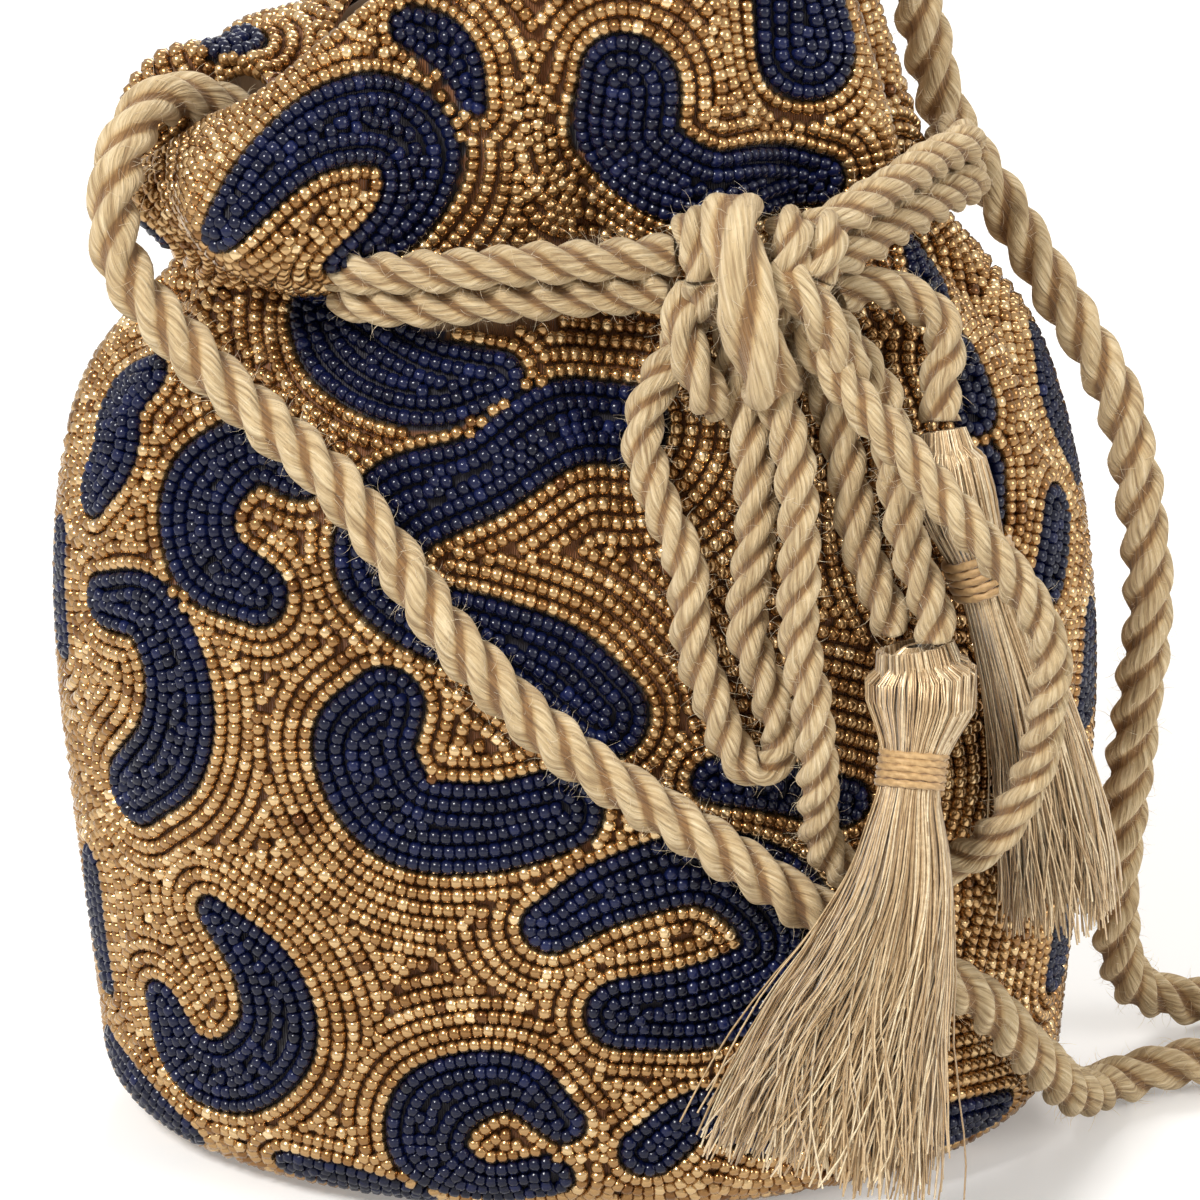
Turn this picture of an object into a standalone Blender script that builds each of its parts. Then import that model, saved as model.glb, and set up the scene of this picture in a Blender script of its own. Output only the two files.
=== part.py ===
# Potli bag: a beaded drawstring pouch that stands on its flat oval base.
# The front faces -Y, +X is to the right seen from the front, +Z is up, and
# the origin is the middle of the base. Everything is in metres.
import bisect
import math

import bmesh
import bpy
from mathutils import Vector
from mathutils.bvhtree import BVHTree

MM = 0.001                 # lists of points below are written in millimetres

# Bag body, from the base up to the neck
BASE_WIDTH = 0.150
BASE_DEPTH = 0.092
BASE_ROUND = 0.013         # radius of the soft edge round the base
BAG_WIDTH = 0.158
BAG_DEPTH = 0.096
WIDEST_HEIGHT = 0.078
SHOULDER_WIDTH = 0.146
SHOULDER_DEPTH = 0.082
SHOULDER_HEIGHT = 0.120
NECK_WIDTH = 0.112
NECK_DEPTH = 0.054
NECK_HEIGHT = 0.144
NECK_TILT = 0.004          # the neck is this much higher at the right
NECK_SHIFT = -0.004        # the drawstring has pulled the neck to the left

# Collar above the neck
COLLAR_HEIGHT = 0.047
COLLAR_LEAN = -0.009       # the rim leans this far to the left

# Cloth layers and gaps
SHELL_WALL = 0.0019        # cloth with its beads
LINING_WALL = 0.0006
CLEARANCE = 0.0004         # between neighbouring pieces
LINING_GAP = 0.0008        # the lining lies a little loose in the folds

SEGMENTS = 48              # round the bag

# Gathers at the neck: place round the bag in degrees (-90 is the middle of the
# front, 0 the right end, 90 the back), half width in degrees, depth inwards.
# A negative depth is a ridge between two gathers.
GATHERS = [
    (-168, 9, 0.0035), (-140, 9, 0.0030), (-110, 8, -0.0015), (-96, 7, -0.0025),
    (-82, 6, 0.0055), (-66, 8, -0.0020), (-48, 7, 0.0035), (-30, 8, -0.0015),
    (-12, 8, 0.0035), (12, 9, -0.0020), (32, 8, 0.0040), (52, 9, -0.0020),
    (72, 8, 0.0040), (92, 9, -0.0020), (112, 8, 0.0035), (134, 9, -0.0020),
    (156, 8, 0.0030),
]
GATHER_REACH = 0.030       # the gathers fade out this far below the neck

# Collar section: how far out and up from the neck it goes at its low, high and
# rim points, which are the handles of one smooth curve.
COLLAR_SECTION = [(0.002, 0.30), (0.004, 0.66), (-0.002, 1.0)]

# Where the collar leaves that section: place and half width in degrees, then
# (out, up) for the low, high and rim points.
COLLAR_FOLDS = {
    "right side tucked in": (6, 36, (-0.005, 0), (-0.006, 0), (-0.003, 0)),
    "front right bulge": (-58, 26, (0.004, 0), (0.007, 0), (0.003, 0)),
    "front crease": (-99, 9, (-0.005, 0), (-0.010, 0), (-0.010, 0)),
    "front left fold, over the neck": (-126, 16, (0.009, -0.006), (0.034, -0.012), (0.004, -0.010)),
    "left end, slumped": (-157, 23, (0.005, -0.006), (0.004, -0.016), (0.003, -0.027)),
    "back left, turned over": (144, 26, (0.003, 0.005), (0.002, 0.017), (-0.019, -0.014)),
}

MOTIF_LIFT = 0.0007        # gap under a navy field, so that it clears the facets below
FOLD_MOTIF_LIFT = 0.0015   # more on the collar's front folds, where the cloth bends sharply
FOLD_MOTIFS = ["collar_hook", "collar_heel"]
MOTIF_WALL = 0.0006
MOTIF_STEP = 0.0075        # along a navy field, from one row of points to the next
MOTIF_COLUMNS = [-1, 0, 1]                 # points across a navy field, as shares of its half width
COLLAR_MOTIF_COLUMNS = [-1, -0.5, 0, 0.5, 1]
ROUND_END = [(0.92, 0.35), (0.6, 0.78)]    # past the end of a field: how far on, and how wide there
CAST_FROM = 0.003          # the facet under a point of a navy field is looked for this near

# Rows of the cloth solids up the body and up the collar, as shares
BODY_ROWS = [0.16, 0.34, 0.50, 0.64, 0.76, 0.86, 0.94, 1.0]
COLLAR_ROWS = [0.14, 0.30, 0.46, 0.62, 0.80, 0.97, 1.0]

HANDLE_DIAMETER = 0.0066
DRAWSTRING_DIAMETER = 0.0052
CORD_STEP = 2.5            # along a cord, from one point to the next, in diameters
BINDING_WALL = 0.0009
TASSEL_SIDES = 10
AXIS_STEP = 0.0005         # along a tassel's axis, from one point to the next

# Cord routes, points in millimetres
HANDLE_ROUTE = [
    (-42, 4, 146), (-45, 2, 155), (-52, -4, 165), (-61, -13, 169), (-66, -24, 162), (-65, -31, 151),
    (-56, -35, 140), (-46, -38, 131), (-35, -42, 122), (-26, -47, 112), (-18, -50, 101),
    (-3, -53, 86), (16, -53, 72),
    (37, -49, 55), (48, -45, 46), (59, -38, 37), (67, -31, 25), (76, -18, 10), (83, -5, 4),
    (94, 1, 4), (108, 3, 4), (117, 12, 4), (109, 21, 4), (97, 21, 5), (89, 16, 10), (85, 11, 20),
    (84, 8, 34), (85, 7, 50), (86, 6, 65), (87, 6, 82), (85, 7, 99), (81, 9, 115),
    (72, 12, 130), (63, 16, 144), (55, 19, 156), (51, 18, 170), (47, 15, 186), (42, 11, 199),
    (34, 5, 204), (26, 1, 197), (24, 0, 184),
]
DRAWSTRING_ROUTES = {
    "neck_cord_left_upper": [(-29.4, -34.5, 150.8), (-18, -36, 152), (-6, -36, 153), (5, -37, 154),
                             (13.6, -37.5, 155)],
    "neck_cord_left_lower": [(-28.6, -32.6, 145.3), (-19, -34, 146), (-5, -34, 147), (4, -35, 148),
                             (13, -36.6, 149.2)],
    "neck_cord_right_upper": [(32, -37.4, 157.7), (38, -32, 159), (45, -23, 160), (51, -12, 160),
                              (56, -3, 159), (56, 3, 158), (53.6, 8, 157.2)],
    "neck_cord_right_lower": [(33.3, -36.3, 151.8), (39, -31, 153), (46, -22, 154), (53, -11, 154),
                              (57, -2, 153), (57, 4, 152), (53.8, 8.4, 151.3)],
    "bow_loop_left": [(16, -36, 145.8), (14, -38, 141), (10, -40, 134), (9, -42, 128), (11, -45, 121),
                      (15, -48, 112), (16, -50, 101), (19, -51, 92), (22, -51, 84), (26, -51, 81),
                      (29, -50, 85),
                      (27, -50, 93), (24, -50, 101), (24, -49, 107), (25, -47, 119), (24, -43, 130),
                      (22, -38, 139), (22, -36, 145.8)],
    "bow_loop_right": [(25.5, -42, 145.8), (27, -45, 138), (30, -48, 129), (31, -52, 117), (31, -54, 104),
                       (33, -56, 93), (34, -55, 83), (35, -50, 69), (40, -47, 62), (47, -46, 61),
                       (56, -44, 63),
                       (62, -46, 70), (66, -47, 80), (67, -49, 90), (67, -51, 100), (62, -53, 111),
                       (54, -54, 121), (46, -51, 130), (38, -47, 138), (31.5, -42, 145.8)],
    "cord_end_left": [(28, -35.5, 145.8), (31, -36, 140), (36, -38, 132), (38, -42, 124), (40, -45, 114),
                      (43, -46, 106), (45, -46, 101)],
    "cord_end_right": [(33.8, -35.5, 145.8), (38, -36, 141), (43, -39.5, 134), (45, -45, 124),
                       (47, -48, 114),
                       (50, -49, 106), (51, -50, 101)],
    "cord_end_back": [(36.4, -32.4, 146.6), (40, -30.6, 147.2), (45, -28, 146), (51, -28, 142),
                      (52.5, -29.5, 137.5), (51.6, -32.6, 133), (51.85, -34.7, 128.4)],
}

# The bow's knot: middle (x, y, z), half width and half depth of its sections
KNOT_SECTIONS = [
    (22, -38, 163, 4.5, 3.5), (22.3, -38.5, 160.5, 7.5, 5.5), (23, -38.5, 155, 8.8, 6.5),
    (24.3, -38.5, 150, 9.5, 6.2), (25, -38.5, 147.3, 9, 5.5),
]

# Tassels: axis points, then the bundle's sections as (share of the length,
# half width, half depth), then the binding's start, end and inner half sizes.
TASSELS = {
    "front_tassel": (
        [(48, -48, 99.5), (49, -49, 93), (48, -52, 84), (47, -55, 77), (46, -58, 66), (43, -60, 54),
         (39, -62, 42), (34, -67, 22)],
        [(0.0, 5.5, 4.5), (0.06, 8.0, 6.5), (0.14, 8.6, 6.8), (0.21, 6.2, 5.2), (0.26, 5.2, 4.5),
         (0.33, 5.4, 4.6), (0.50, 9.5, 5.6), (0.75, 14.0, 6.0), (1.0, 17.0, 5.5)],
        (0.245, 0.325, 5.4, 4.6)),
    "back_tassel": (
        [(52, -35, 127.5), (53, -37, 122), (55, -38, 115), (60, -39, 102), (66, -37, 83), (70, -34, 62),
         (72, -30, 44)],
        [(0.0, 4.0, 3.5), (0.07, 6.0, 5.0), (0.14, 6.0, 5.0), (0.21, 4.4, 3.8), (0.29, 4.4, 3.8),
         (0.50, 6.4, 4.4), (0.75, 7.6, 4.4), (1.0, 8.4, 4.2)],
        (0.215, 0.285, 4.4, 3.8)),
}

# Navy fields of the beadwork, as strokes over the flat cloth: place round the
# bag in degrees, height up the cloth and half width, both in millimetres. The
# heights are for a cloth whose neck and rim are at these two, and follow the
# bag's own neck and rim.
DRAWN_NECK = 157.7
DRAWN_RIM = 204.7
MOTIFS = {
    "collar_back_left": [(158, 192, 3.0), (150, 191, 3.8)],
    "collar_end_left": [(-158, 176, 3.4), (-174, 170, 4.4)],
    "collar_hook": [(-120, 194, 3.4), (-113, 194, 4.8), (-106, 189, 5.4), (-104, 182, 5.0),
                    (-107, 176, 3.4)],
    "collar_wedge": [(-102, 199, 2.4), (-96, 194, 3.0), (-95, 188, 1.6)],
    "collar_heel": [(-73, 190, 7.4), (-75, 181, 7.6), (-67, 175, 5.8), (-57, 174, 5.0), (-44, 171, 3.4)],
    "collar_right_drop": [(-39, 197, 6.6), (-40, 191, 7.4)],
    "front_crescent": [(-127, 157, 5.0), (-118, 151, 6.8), (-106, 146, 6.0), (-97, 147, 3.4)],
    "front_figure_top": [(-81, 136, 5.2), (-90, 138, 5.8), (-99, 131, 5.4), (-108, 126, 6.4),
                         (-111, 117, 5.4),
                         (-106, 110, 4.8), (-99, 107, 5.4), (-92, 102, 6.6), (-87, 95, 6.4)],
    "front_figure_foot": [(-110, 96, 5.0), (-113, 88, 7.2), (-109, 78, 7.2), (-100, 77, 6.6),
                          (-92, 80, 6.0)],
    "left_hook": [(-155, 141, 3.0), (-160, 135, 5.4), (-156, 128, 5.2), (-159, 120, 3.8)],
    "left_curl": [(-121, 130, 3.0), (-129, 133, 4.6), (-136, 125, 6.0), (-134, 115, 6.0),
                  (-126, 111, 4.4)],
    "left_low_hook": [(-153, 103, 3.6), (-143, 104, 5.0), (-138, 94, 5.6), (-140, 82, 6.0),
                      (-148, 73, 5.2)],
    "left_end_sliver": [(-172, 107, 3.6), (-170, 92, 4.0)],
    "left_end_drop": [(-166, 53, 3.2), (-168, 42, 4.4), (-166, 34, 3.0)],
    "left_comma": [(-135, 56, 2.4), (-128, 48, 5.2), (-127, 37, 5.8), (-134, 28, 5.6), (-143, 28, 5.4),
                   (-147, 36, 3.6)],
    "left_corner": [(-168, 20, 3.6), (-157, 16, 4.8), (-147, 13, 3.4)],
    "front_low_left": [(-127, 13, 2.8), (-118, 11, 4.0), (-111, 9, 3.2)],
    "front_low_c": [(-92, 27, 2.8), (-98, 34, 4.4), (-106, 30, 5.8), (-108, 21, 5.4), (-102, 15, 4.2),
                    (-94, 17, 3.6)],
    "front_hook": [(-93, 61, 3.8), (-86, 67, 4.8), (-76, 70, 5.6), (-68, 63, 6.6), (-67, 53, 6.2),
                   (-75, 47, 6.8), (-85, 46, 5.4)],
    "front_dash": [(-75, 84, 3.0), (-68, 82, 3.4), (-60, 78, 3.2)],
    "right_shoulder": [(-20, 155, 3.8), (-27, 150, 3.4)],
    "right_upper_drop": [(-32, 139, 3.6), (-33, 131, 3.6)],
    "right_middle_drop": [(-35, 122, 3.8), (-37, 116, 4.2)],
    "right_dash": [(-18, 111, 4.0), (-24, 103, 3.8)],
    "right_end_curl": [(3, 132, 3.0), (-3, 124, 4.2), (-1, 114, 3.6)],
    "right_end_drop": [(-8, 91, 3.6), (-11, 80, 4.6)],
    "right_low_drop": [(-14, 46, 3.8), (-14, 36, 4.4)],
    "right_corner": [(-30, 16, 3.2), (-41, 17, 4.0), (-50, 18, 3.6)],
    "front_low_right": [(-82, 22, 4.0), (-76, 28, 3.6), (-68, 24, 4.0)],
    "back_low_left": [(152, 40, 3.2), (144, 48, 5.0), (132, 44, 5.4), (128, 33, 3.6)],
    "back_low_middle": [(106, 60, 3.6), (96, 66, 5.4), (84, 60, 6.0), (78, 50, 4.2)],
    "back_low_right": [(52, 36, 3.4), (42, 44, 5.2), (30, 38, 5.4), (24, 28, 3.4)],
    "back_middle_right": [(70, 98, 3.6), (58, 104, 5.8), (48, 94, 5.6), (52, 84, 3.4)],
    "back_collar": [(104, 176, 3.6), (92, 182, 5.2), (78, 180, 4.4), (68, 174, 3.0)],
}


def smooth_step(value):
    value = min(1.0, max(0.0, value))
    return value * value * (3 - 2 * value)


def angle_between(first, second):
    """Smallest turn between two places round the bag, in degrees."""
    return (first - second + 180) % 360 - 180


def catmull_rom(before, start, end, after, part):
    """Point on the smooth curve from start to end, at part 0 to 1."""
    return 0.5 * (2 * start + (end - before) * part
                  + (2 * before - 5 * start + 4 * end - after) * part ** 2
                  + (3 * start - before - 3 * end + after) * part ** 3)


def smooth_curve(points, spacing):
    """Points about `spacing` apart on a smooth curve through the given points."""
    ends = [2 * points[0] - points[1], *points, 2 * points[-1] - points[-2]]
    fine = []
    for i in range(1, len(ends) - 2):
        fine += [catmull_rom(*ends[i - 1:i + 3], step / 24) for step in range(24)]
    fine.append(ends[-2])
    run = [0.0]
    for first, second in zip(fine, fine[1:]):
        run.append(run[-1] + (second - first).length)
    count = max(2, round(run[-1] / spacing))
    result = []
    for step in range(count + 1):
        along = run[-1] * step / count
        i = min(len(fine) - 2, max(0, bisect.bisect_right(run, along) - 1))
        part = (along - run[i]) / max(run[i + 1] - run[i], 1e-9)
        result.append(fine[i].lerp(fine[i + 1], part))
    return result


def body_profile():
    """(height, half width, half depth) up the body, with its length so far."""
    keys = [
        Vector((BASE_ROUND, BASE_WIDTH / 2, BASE_DEPTH / 2)),
        Vector((WIDEST_HEIGHT, BAG_WIDTH / 2, BAG_DEPTH / 2)),
        Vector((SHOULDER_HEIGHT, SHOULDER_WIDTH / 2, SHOULDER_DEPTH / 2)),
        Vector((NECK_HEIGHT, NECK_WIDTH / 2, NECK_DEPTH / 2)),
    ]
    ring = []
    for step in range(8):
        turn = math.radians(90 * step / 8)
        inwards = BASE_ROUND * (1 - math.sin(turn))
        ring.append(Vector((BASE_ROUND * (1 - math.cos(turn)),
                            BASE_WIDTH / 2 - inwards, BASE_DEPTH / 2 - inwards)))
    ring += smooth_curve(keys, 0.002)
    run = [0.0]
    for first, second in zip(ring, ring[1:]):
        run.append(run[-1] + math.hypot(second.x - first.x, second.y - first.y))
    return ring, run


PROFILE, PROFILE_RUN = body_profile()
BODY_LENGTH = PROFILE_RUN[-1]          # up the cloth from the base edge to the neck


def body_ring(up_cloth):
    """(height, half width, half depth) at a length up the cloth."""
    up_cloth = min(BODY_LENGTH, max(0.0, up_cloth))
    i = min(len(PROFILE) - 2, max(0, bisect.bisect_right(PROFILE_RUN, up_cloth) - 1))
    part = (up_cloth - PROFILE_RUN[i]) / (PROFILE_RUN[i + 1] - PROFILE_RUN[i])
    return PROFILE[i].lerp(PROFILE[i + 1], part)


def gather_depth(angle):
    return sum(depth * math.exp(-(angle_between(angle, place) / width) ** 2)
               for place, width, depth in GATHERS)


def body_point(angle, up_cloth):
    """Point of the outer face of the body, at an angle round the bag in degrees."""
    height, half_width, half_depth = body_ring(up_cloth)
    near_neck = smooth_step(1 - (BODY_LENGTH - up_cloth) / (2 * GATHER_REACH))
    inwards = gather_depth(angle) * near_neck
    turn = math.radians(angle)
    rise = smooth_step(up_cloth / BODY_LENGTH)
    return Vector(((half_width - inwards) * math.cos(turn) + NECK_SHIFT * rise ** 3,
                   (half_depth - inwards) * math.sin(turn),
                   height + NECK_TILT * math.cos(turn) * rise ** 3))


def collar_handles(angle):
    """(out, up) of the low, high and rim points of the collar at this angle."""
    handles = [[out, up * COLLAR_HEIGHT] for out, up in COLLAR_SECTION]
    for place, width, *moves in COLLAR_FOLDS.values():
        share = math.exp(-(angle_between(angle, place) / width) ** 2)
        for handle, (out, up) in zip(handles, moves):
            handle[0] += out * share
            handle[1] += up * share
    return handles


def bag_face(angle, up_cloth):
    """Point of the bag's outer face: body up to BODY_LENGTH, then the collar."""
    if up_cloth <= BODY_LENGTH:
        return body_point(angle, up_cloth)
    neck = body_point(angle, BODY_LENGTH)
    turn = math.radians(angle)
    outwards = Vector((math.cos(turn) / NECK_WIDTH, math.sin(turn) / NECK_DEPTH, 0)).normalized()
    part = (up_cloth - BODY_LENGTH) / COLLAR_HEIGHT
    weights = [3 * part * (1 - part) ** 2, 3 * part ** 2 * (1 - part), part ** 3]
    point = neck.copy()
    for weight, (out, up) in zip(weights, collar_handles(angle)):
        point += weight * (outwards * out + Vector((0, 0, up)))
    point.x += COLLAR_LEAN * smooth_step(part)
    return point


def bag_normal(angle, up_cloth):
    """Outward direction of the bag's face."""
    step = 0.0008
    low = bag_face(angle, max(0.0, up_cloth - step))
    high = bag_face(angle, min(BODY_LENGTH + COLLAR_HEIGHT, up_cloth + step))
    around = bag_face(angle + 0.8, up_cloth) - bag_face(angle - 0.8, up_cloth)
    return around.cross(high - low).normalized()


def cloth_point(angle, up_cloth, inset):
    """Point under the bag's outer face by `inset`; negative is above it."""
    if up_cloth <= 0:
        return bag_face(angle, 0) + Vector((0, 0, inset))
    return bag_face(angle, up_cloth) - bag_normal(angle, up_cloth) * inset


# Building the solids

def material(name, colour, roughness, metallic=0.0):
    made = bpy.data.materials.new(name)
    made.use_nodes = True
    shader = made.node_tree.nodes["Principled BSDF"]
    shader.inputs["Base Color"].default_value = (*colour, 1)
    shader.inputs["Roughness"].default_value = roughness
    shader.inputs["Metallic"].default_value = metallic
    return made


def add_object(name, data, finish):
    data.materials.append(finish)
    made = bpy.data.objects.new(name, data)
    bpy.context.scene.collection.objects.link(made)
    return made


def finish_mesh(name, work, finish):
    bmesh.ops.recalc_face_normals(work, faces=work.faces)
    mesh = bpy.data.meshes.new(name)
    work.to_mesh(mesh)
    work.free()
    mesh.shade_smooth()
    mesh.set_sharp_from_angle(angle=math.radians(50))
    return add_object(name, mesh, finish)


def add_solid(name, rings, finish, caps=True):
    """One closed solid from rings of points, each with the same count."""
    work = bmesh.new()
    rows = [[work.verts.new(point) for point in ring] for ring in rings]
    count = len(rows[0])
    pairs = list(zip(rows, rows[1:]))
    if not caps:
        pairs.append((rows[-1], rows[0]))
    for low, high in pairs:
        for i in range(count):
            j = (i + 1) % count
            work.faces.new((low[i], low[j], high[j], high[i]))
    if caps:
        work.faces.new(rows[0][::-1])
        work.faces.new(rows[-1])
    return finish_mesh(name, work, finish)


def bag_ring(up_cloth, inset):
    return [cloth_point(360 * i / SEGMENTS - 90, up_cloth, inset) for i in range(SEGMENTS)]


def add_cloth_layer(name, outer_inset, wall, rows_up, finish):
    """A cloth layer with its two faces, from the flat base to the rim."""
    work = bmesh.new()
    faces = [[[work.verts.new(point) for point in bag_ring(up, inset)] for up in rows_up]
             for inset in (outer_inset, outer_inset + wall)]
    for rows in faces:
        work.faces.new(rows[0])
        for low, high in zip(rows, rows[1:]):
            for i in range(SEGMENTS):
                j = (i + 1) % SEGMENTS
                work.faces.new((low[i], low[j], high[j]))
                work.faces.new((low[i], high[j], high[i]))
    for i in range(SEGMENTS):
        j = (i + 1) % SEGMENTS
        work.faces.new((faces[0][-1][i], faces[0][-1][j], faces[1][-1][j], faces[1][-1][i]))
    return finish_mesh(name, work, finish)


def add_cord(name, route, diameter, finish):
    """A cord laid along a smooth curve through its route, in millimetres."""
    points = smooth_curve([Vector(point) * MM for point in route], CORD_STEP * diameter)
    curve = bpy.data.curves.new(name, "CURVE")
    curve.dimensions = "3D"
    curve.bevel_depth = diameter / 2
    curve.bevel_resolution = 2
    curve.use_fill_caps = True
    line = curve.splines.new("POLY")
    line.points.add(len(points) - 1)
    for slot, point in zip(line.points, points):
        slot.co = (*point, 1)
    return add_object(name, curve, finish)


def oval(middle, across, along, half_width, half_depth, count):
    return [middle + across * (half_width * math.cos(math.tau * i / count))
            + along * (half_depth * math.sin(math.tau * i / count)) for i in range(count)]


# The navy fields of the beadwork

def step_on_cloth(place, move):
    """The (angle, up cloth) that lies `move` away from a place on the cloth."""
    angle, up_cloth = place
    here = bag_face(angle, up_cloth)
    per_degree = (bag_face(angle + 1, up_cloth) - here)
    per_length = (bag_face(angle, up_cloth + 0.001) - here) / 0.001
    a, b, c = per_degree.dot(per_degree), per_degree.dot(per_length), per_length.dot(per_length)
    d, e = per_degree.dot(move), per_length.dot(move)
    det = a * c - b * b
    return angle + (d * c - b * e) / det, up_cloth + (a * e - b * d) / det


def up_bag_cloth(drawn):
    """Length up the bag's cloth for a height on the drawn cloth."""
    if drawn < DRAWN_NECK:
        return BODY_LENGTH * drawn / DRAWN_NECK
    return BODY_LENGTH + COLLAR_HEIGHT * (drawn - DRAWN_NECK) / (DRAWN_RIM - DRAWN_NECK)


def motif_stations(stroke):
    """(angle, up cloth, half width) along a stroke of beadwork."""
    keys = [Vector((angle, up_bag_cloth(up), radius * MM)) for angle, up, radius in stroke]
    on_face = [bag_face(key.x, key.y) for key in keys]
    ends = [2 * keys[0] - keys[1], *keys, 2 * keys[-1] - keys[-2]]
    places = []
    for i in range(1, len(ends) - 2):
        steps = max(1, round((on_face[i] - on_face[i - 1]).length / MOTIF_STEP))
        places += [catmull_rom(*ends[i - 1:i + 3], step / steps) for step in range(steps)]
    return [*places, keys[-1]]


def over_shell(shell_faces, place, lift):
    """The point `lift` above the facet of the shell under a place on the cloth."""
    point, normal = bag_face(*place), bag_normal(*place)
    hit = shell_faces.ray_cast(point + normal * CAST_FROM, -normal, 2 * CAST_FROM)[0]
    return (hit or point) + normal * lift


def add_motif(name, stroke, lift, shell_faces, finish):
    """A thin raised field of navy beads: a stroke of varying width on the cloth."""
    places = motif_stations(stroke)
    on_collar = places[0].y > BODY_LENGTH
    columns = COLLAR_MOTIF_COLUMNS if on_collar else MOTIF_COLUMNS
    points = [bag_face(place.x, place.y) for place in places]
    rows = []
    for i, (angle, up_cloth, radius) in enumerate(places):
        ahead = (points[min(len(points) - 1, i + 1)] - points[max(0, i - 1)]).normalized()
        side = bag_normal(angle, up_cloth).cross(ahead).normalized()
        stations = [(0.0, 1.0)]
        if i == 0:
            stations = [(-forward, share) for forward, share in ROUND_END] + stations
        elif i == len(places) - 1:
            stations += ROUND_END[::-1]
        for forward, share in stations:
            rows.append([step_on_cloth((angle, up_cloth), radius * (ahead * forward + side * share * column))
                         for column in columns])
    work = bmesh.new()
    layers = [[[work.verts.new(over_shell(shell_faces, place, height)) for place in row] for row in rows]
              for height in (lift, lift + MOTIF_WALL)]
    for layer in layers:
        for first, second in zip(layer, layer[1:]):
            for k in range(len(columns) - 1):
                work.faces.new((first[k], first[k + 1], second[k + 1], second[k]))
    low, high = [[row[0] for row in layer] + layer[-1][1:-1] + [row[-1] for row in reversed(layer)]
                 + layer[0][-2:0:-1] for layer in layers]
    for i in range(len(low)):
        j = (i + 1) % len(low)
        work.faces.new((low[i], low[j], high[j], high[i]))
    return finish_mesh(name, work, finish)


def add_tassel(name, route, sections, binding_at, finish, binding_finish):
    """A thread tassel: head, waist and skirt in one bundle, and its binding."""
    axis = smooth_curve([Vector(point) * MM for point in route], AXIS_STEP)

    def ring_at(part, half_width, half_depth):
        i = min(len(axis) - 2, round(part * (len(axis) - 1)))
        ahead = (axis[min(len(axis) - 1, i + 4)] - axis[max(0, i - 4)]).normalized()
        across = Vector((1, 0, 0)) - ahead * ahead.x
        across.normalize()
        return oval(axis[i], across, ahead.cross(across), half_width * MM, half_depth * MM, TASSEL_SIDES)
    rings = [ring_at(part, half_width, half_depth) for part, half_width, half_depth in sections]
    add_solid(name, rings, finish)
    start, end, half_width, half_depth = binding_at
    gap = CLEARANCE / MM
    wall = BINDING_WALL / MM
    outer = [ring_at(part, half_width + gap + wall, half_depth + gap + wall) for part in (start, end)]
    inner = [ring_at(part, half_width + gap, half_depth + gap) for part in (end, start)]
    add_solid(name + "_binding", outer + inner, binding_finish, caps=False)


def clear_scene():
    for old in list(bpy.data.objects):
        bpy.data.objects.remove(old)


def build():
    clear_scene()
    gold = material("gold_beads", (0.58, 0.34, 0.12), 0.32, 0.75)
    navy = material("navy_beads", (0.012, 0.022, 0.11), 0.22)
    satin = material("tan_lining", (0.52, 0.35, 0.20), 0.5)
    rope = material("beige_cord", (0.56, 0.41, 0.24), 0.85)
    thread = material("champagne_thread", (0.60, 0.42, 0.22), 0.35, 0.3)
    binding = material("binding_thread", (0.50, 0.32, 0.13), 0.6)

    rows_up = [0.0, BASE_ROUND * 0.8, BASE_ROUND * 1.57]
    rows_up += [BASE_ROUND * 1.57 + (BODY_LENGTH - BASE_ROUND * 1.57) * share for share in BODY_ROWS]
    rows_up += [BODY_LENGTH + COLLAR_HEIGHT * share for share in COLLAR_ROWS]
    shell = add_cloth_layer("outer_shell", 0.0, SHELL_WALL, rows_up, gold)
    plain_rows = [row for row in rows_up if row < BODY_LENGTH - 2 * GATHER_REACH]
    lining_rows = plain_rows[:1] + plain_rows[2::2] + [row for row in rows_up[:-1] if row > plain_rows[-1]]
    add_cloth_layer("lining", SHELL_WALL + LINING_GAP, LINING_WALL, lining_rows, satin)

    shell_faces = BVHTree.FromObject(shell, bpy.context.evaluated_depsgraph_get())
    for name, stroke in MOTIFS.items():
        lift = FOLD_MOTIF_LIFT if name in FOLD_MOTIFS else MOTIF_LIFT
        add_motif("navy_" + name, stroke, lift, shell_faces, navy)

    add_cord("handle_cord", HANDLE_ROUTE, HANDLE_DIAMETER, rope)
    for name, route in DRAWSTRING_ROUTES.items():
        add_cord(name, route, DRAWSTRING_DIAMETER, rope)
    add_solid("bow_knot", [oval(Vector((x, y, z)) * MM, Vector((1, 0, 0)), Vector((0, 1, 0)),
                                half_width * MM, half_depth * MM, 12)
                           for x, y, z, half_width, half_depth in KNOT_SECTIONS], rope)
    for name, (route, sections, binding_at) in TASSELS.items():
        add_tassel(name, route, sections, binding_at, thread, binding)


build()
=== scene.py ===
import math
from itertools import product

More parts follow.
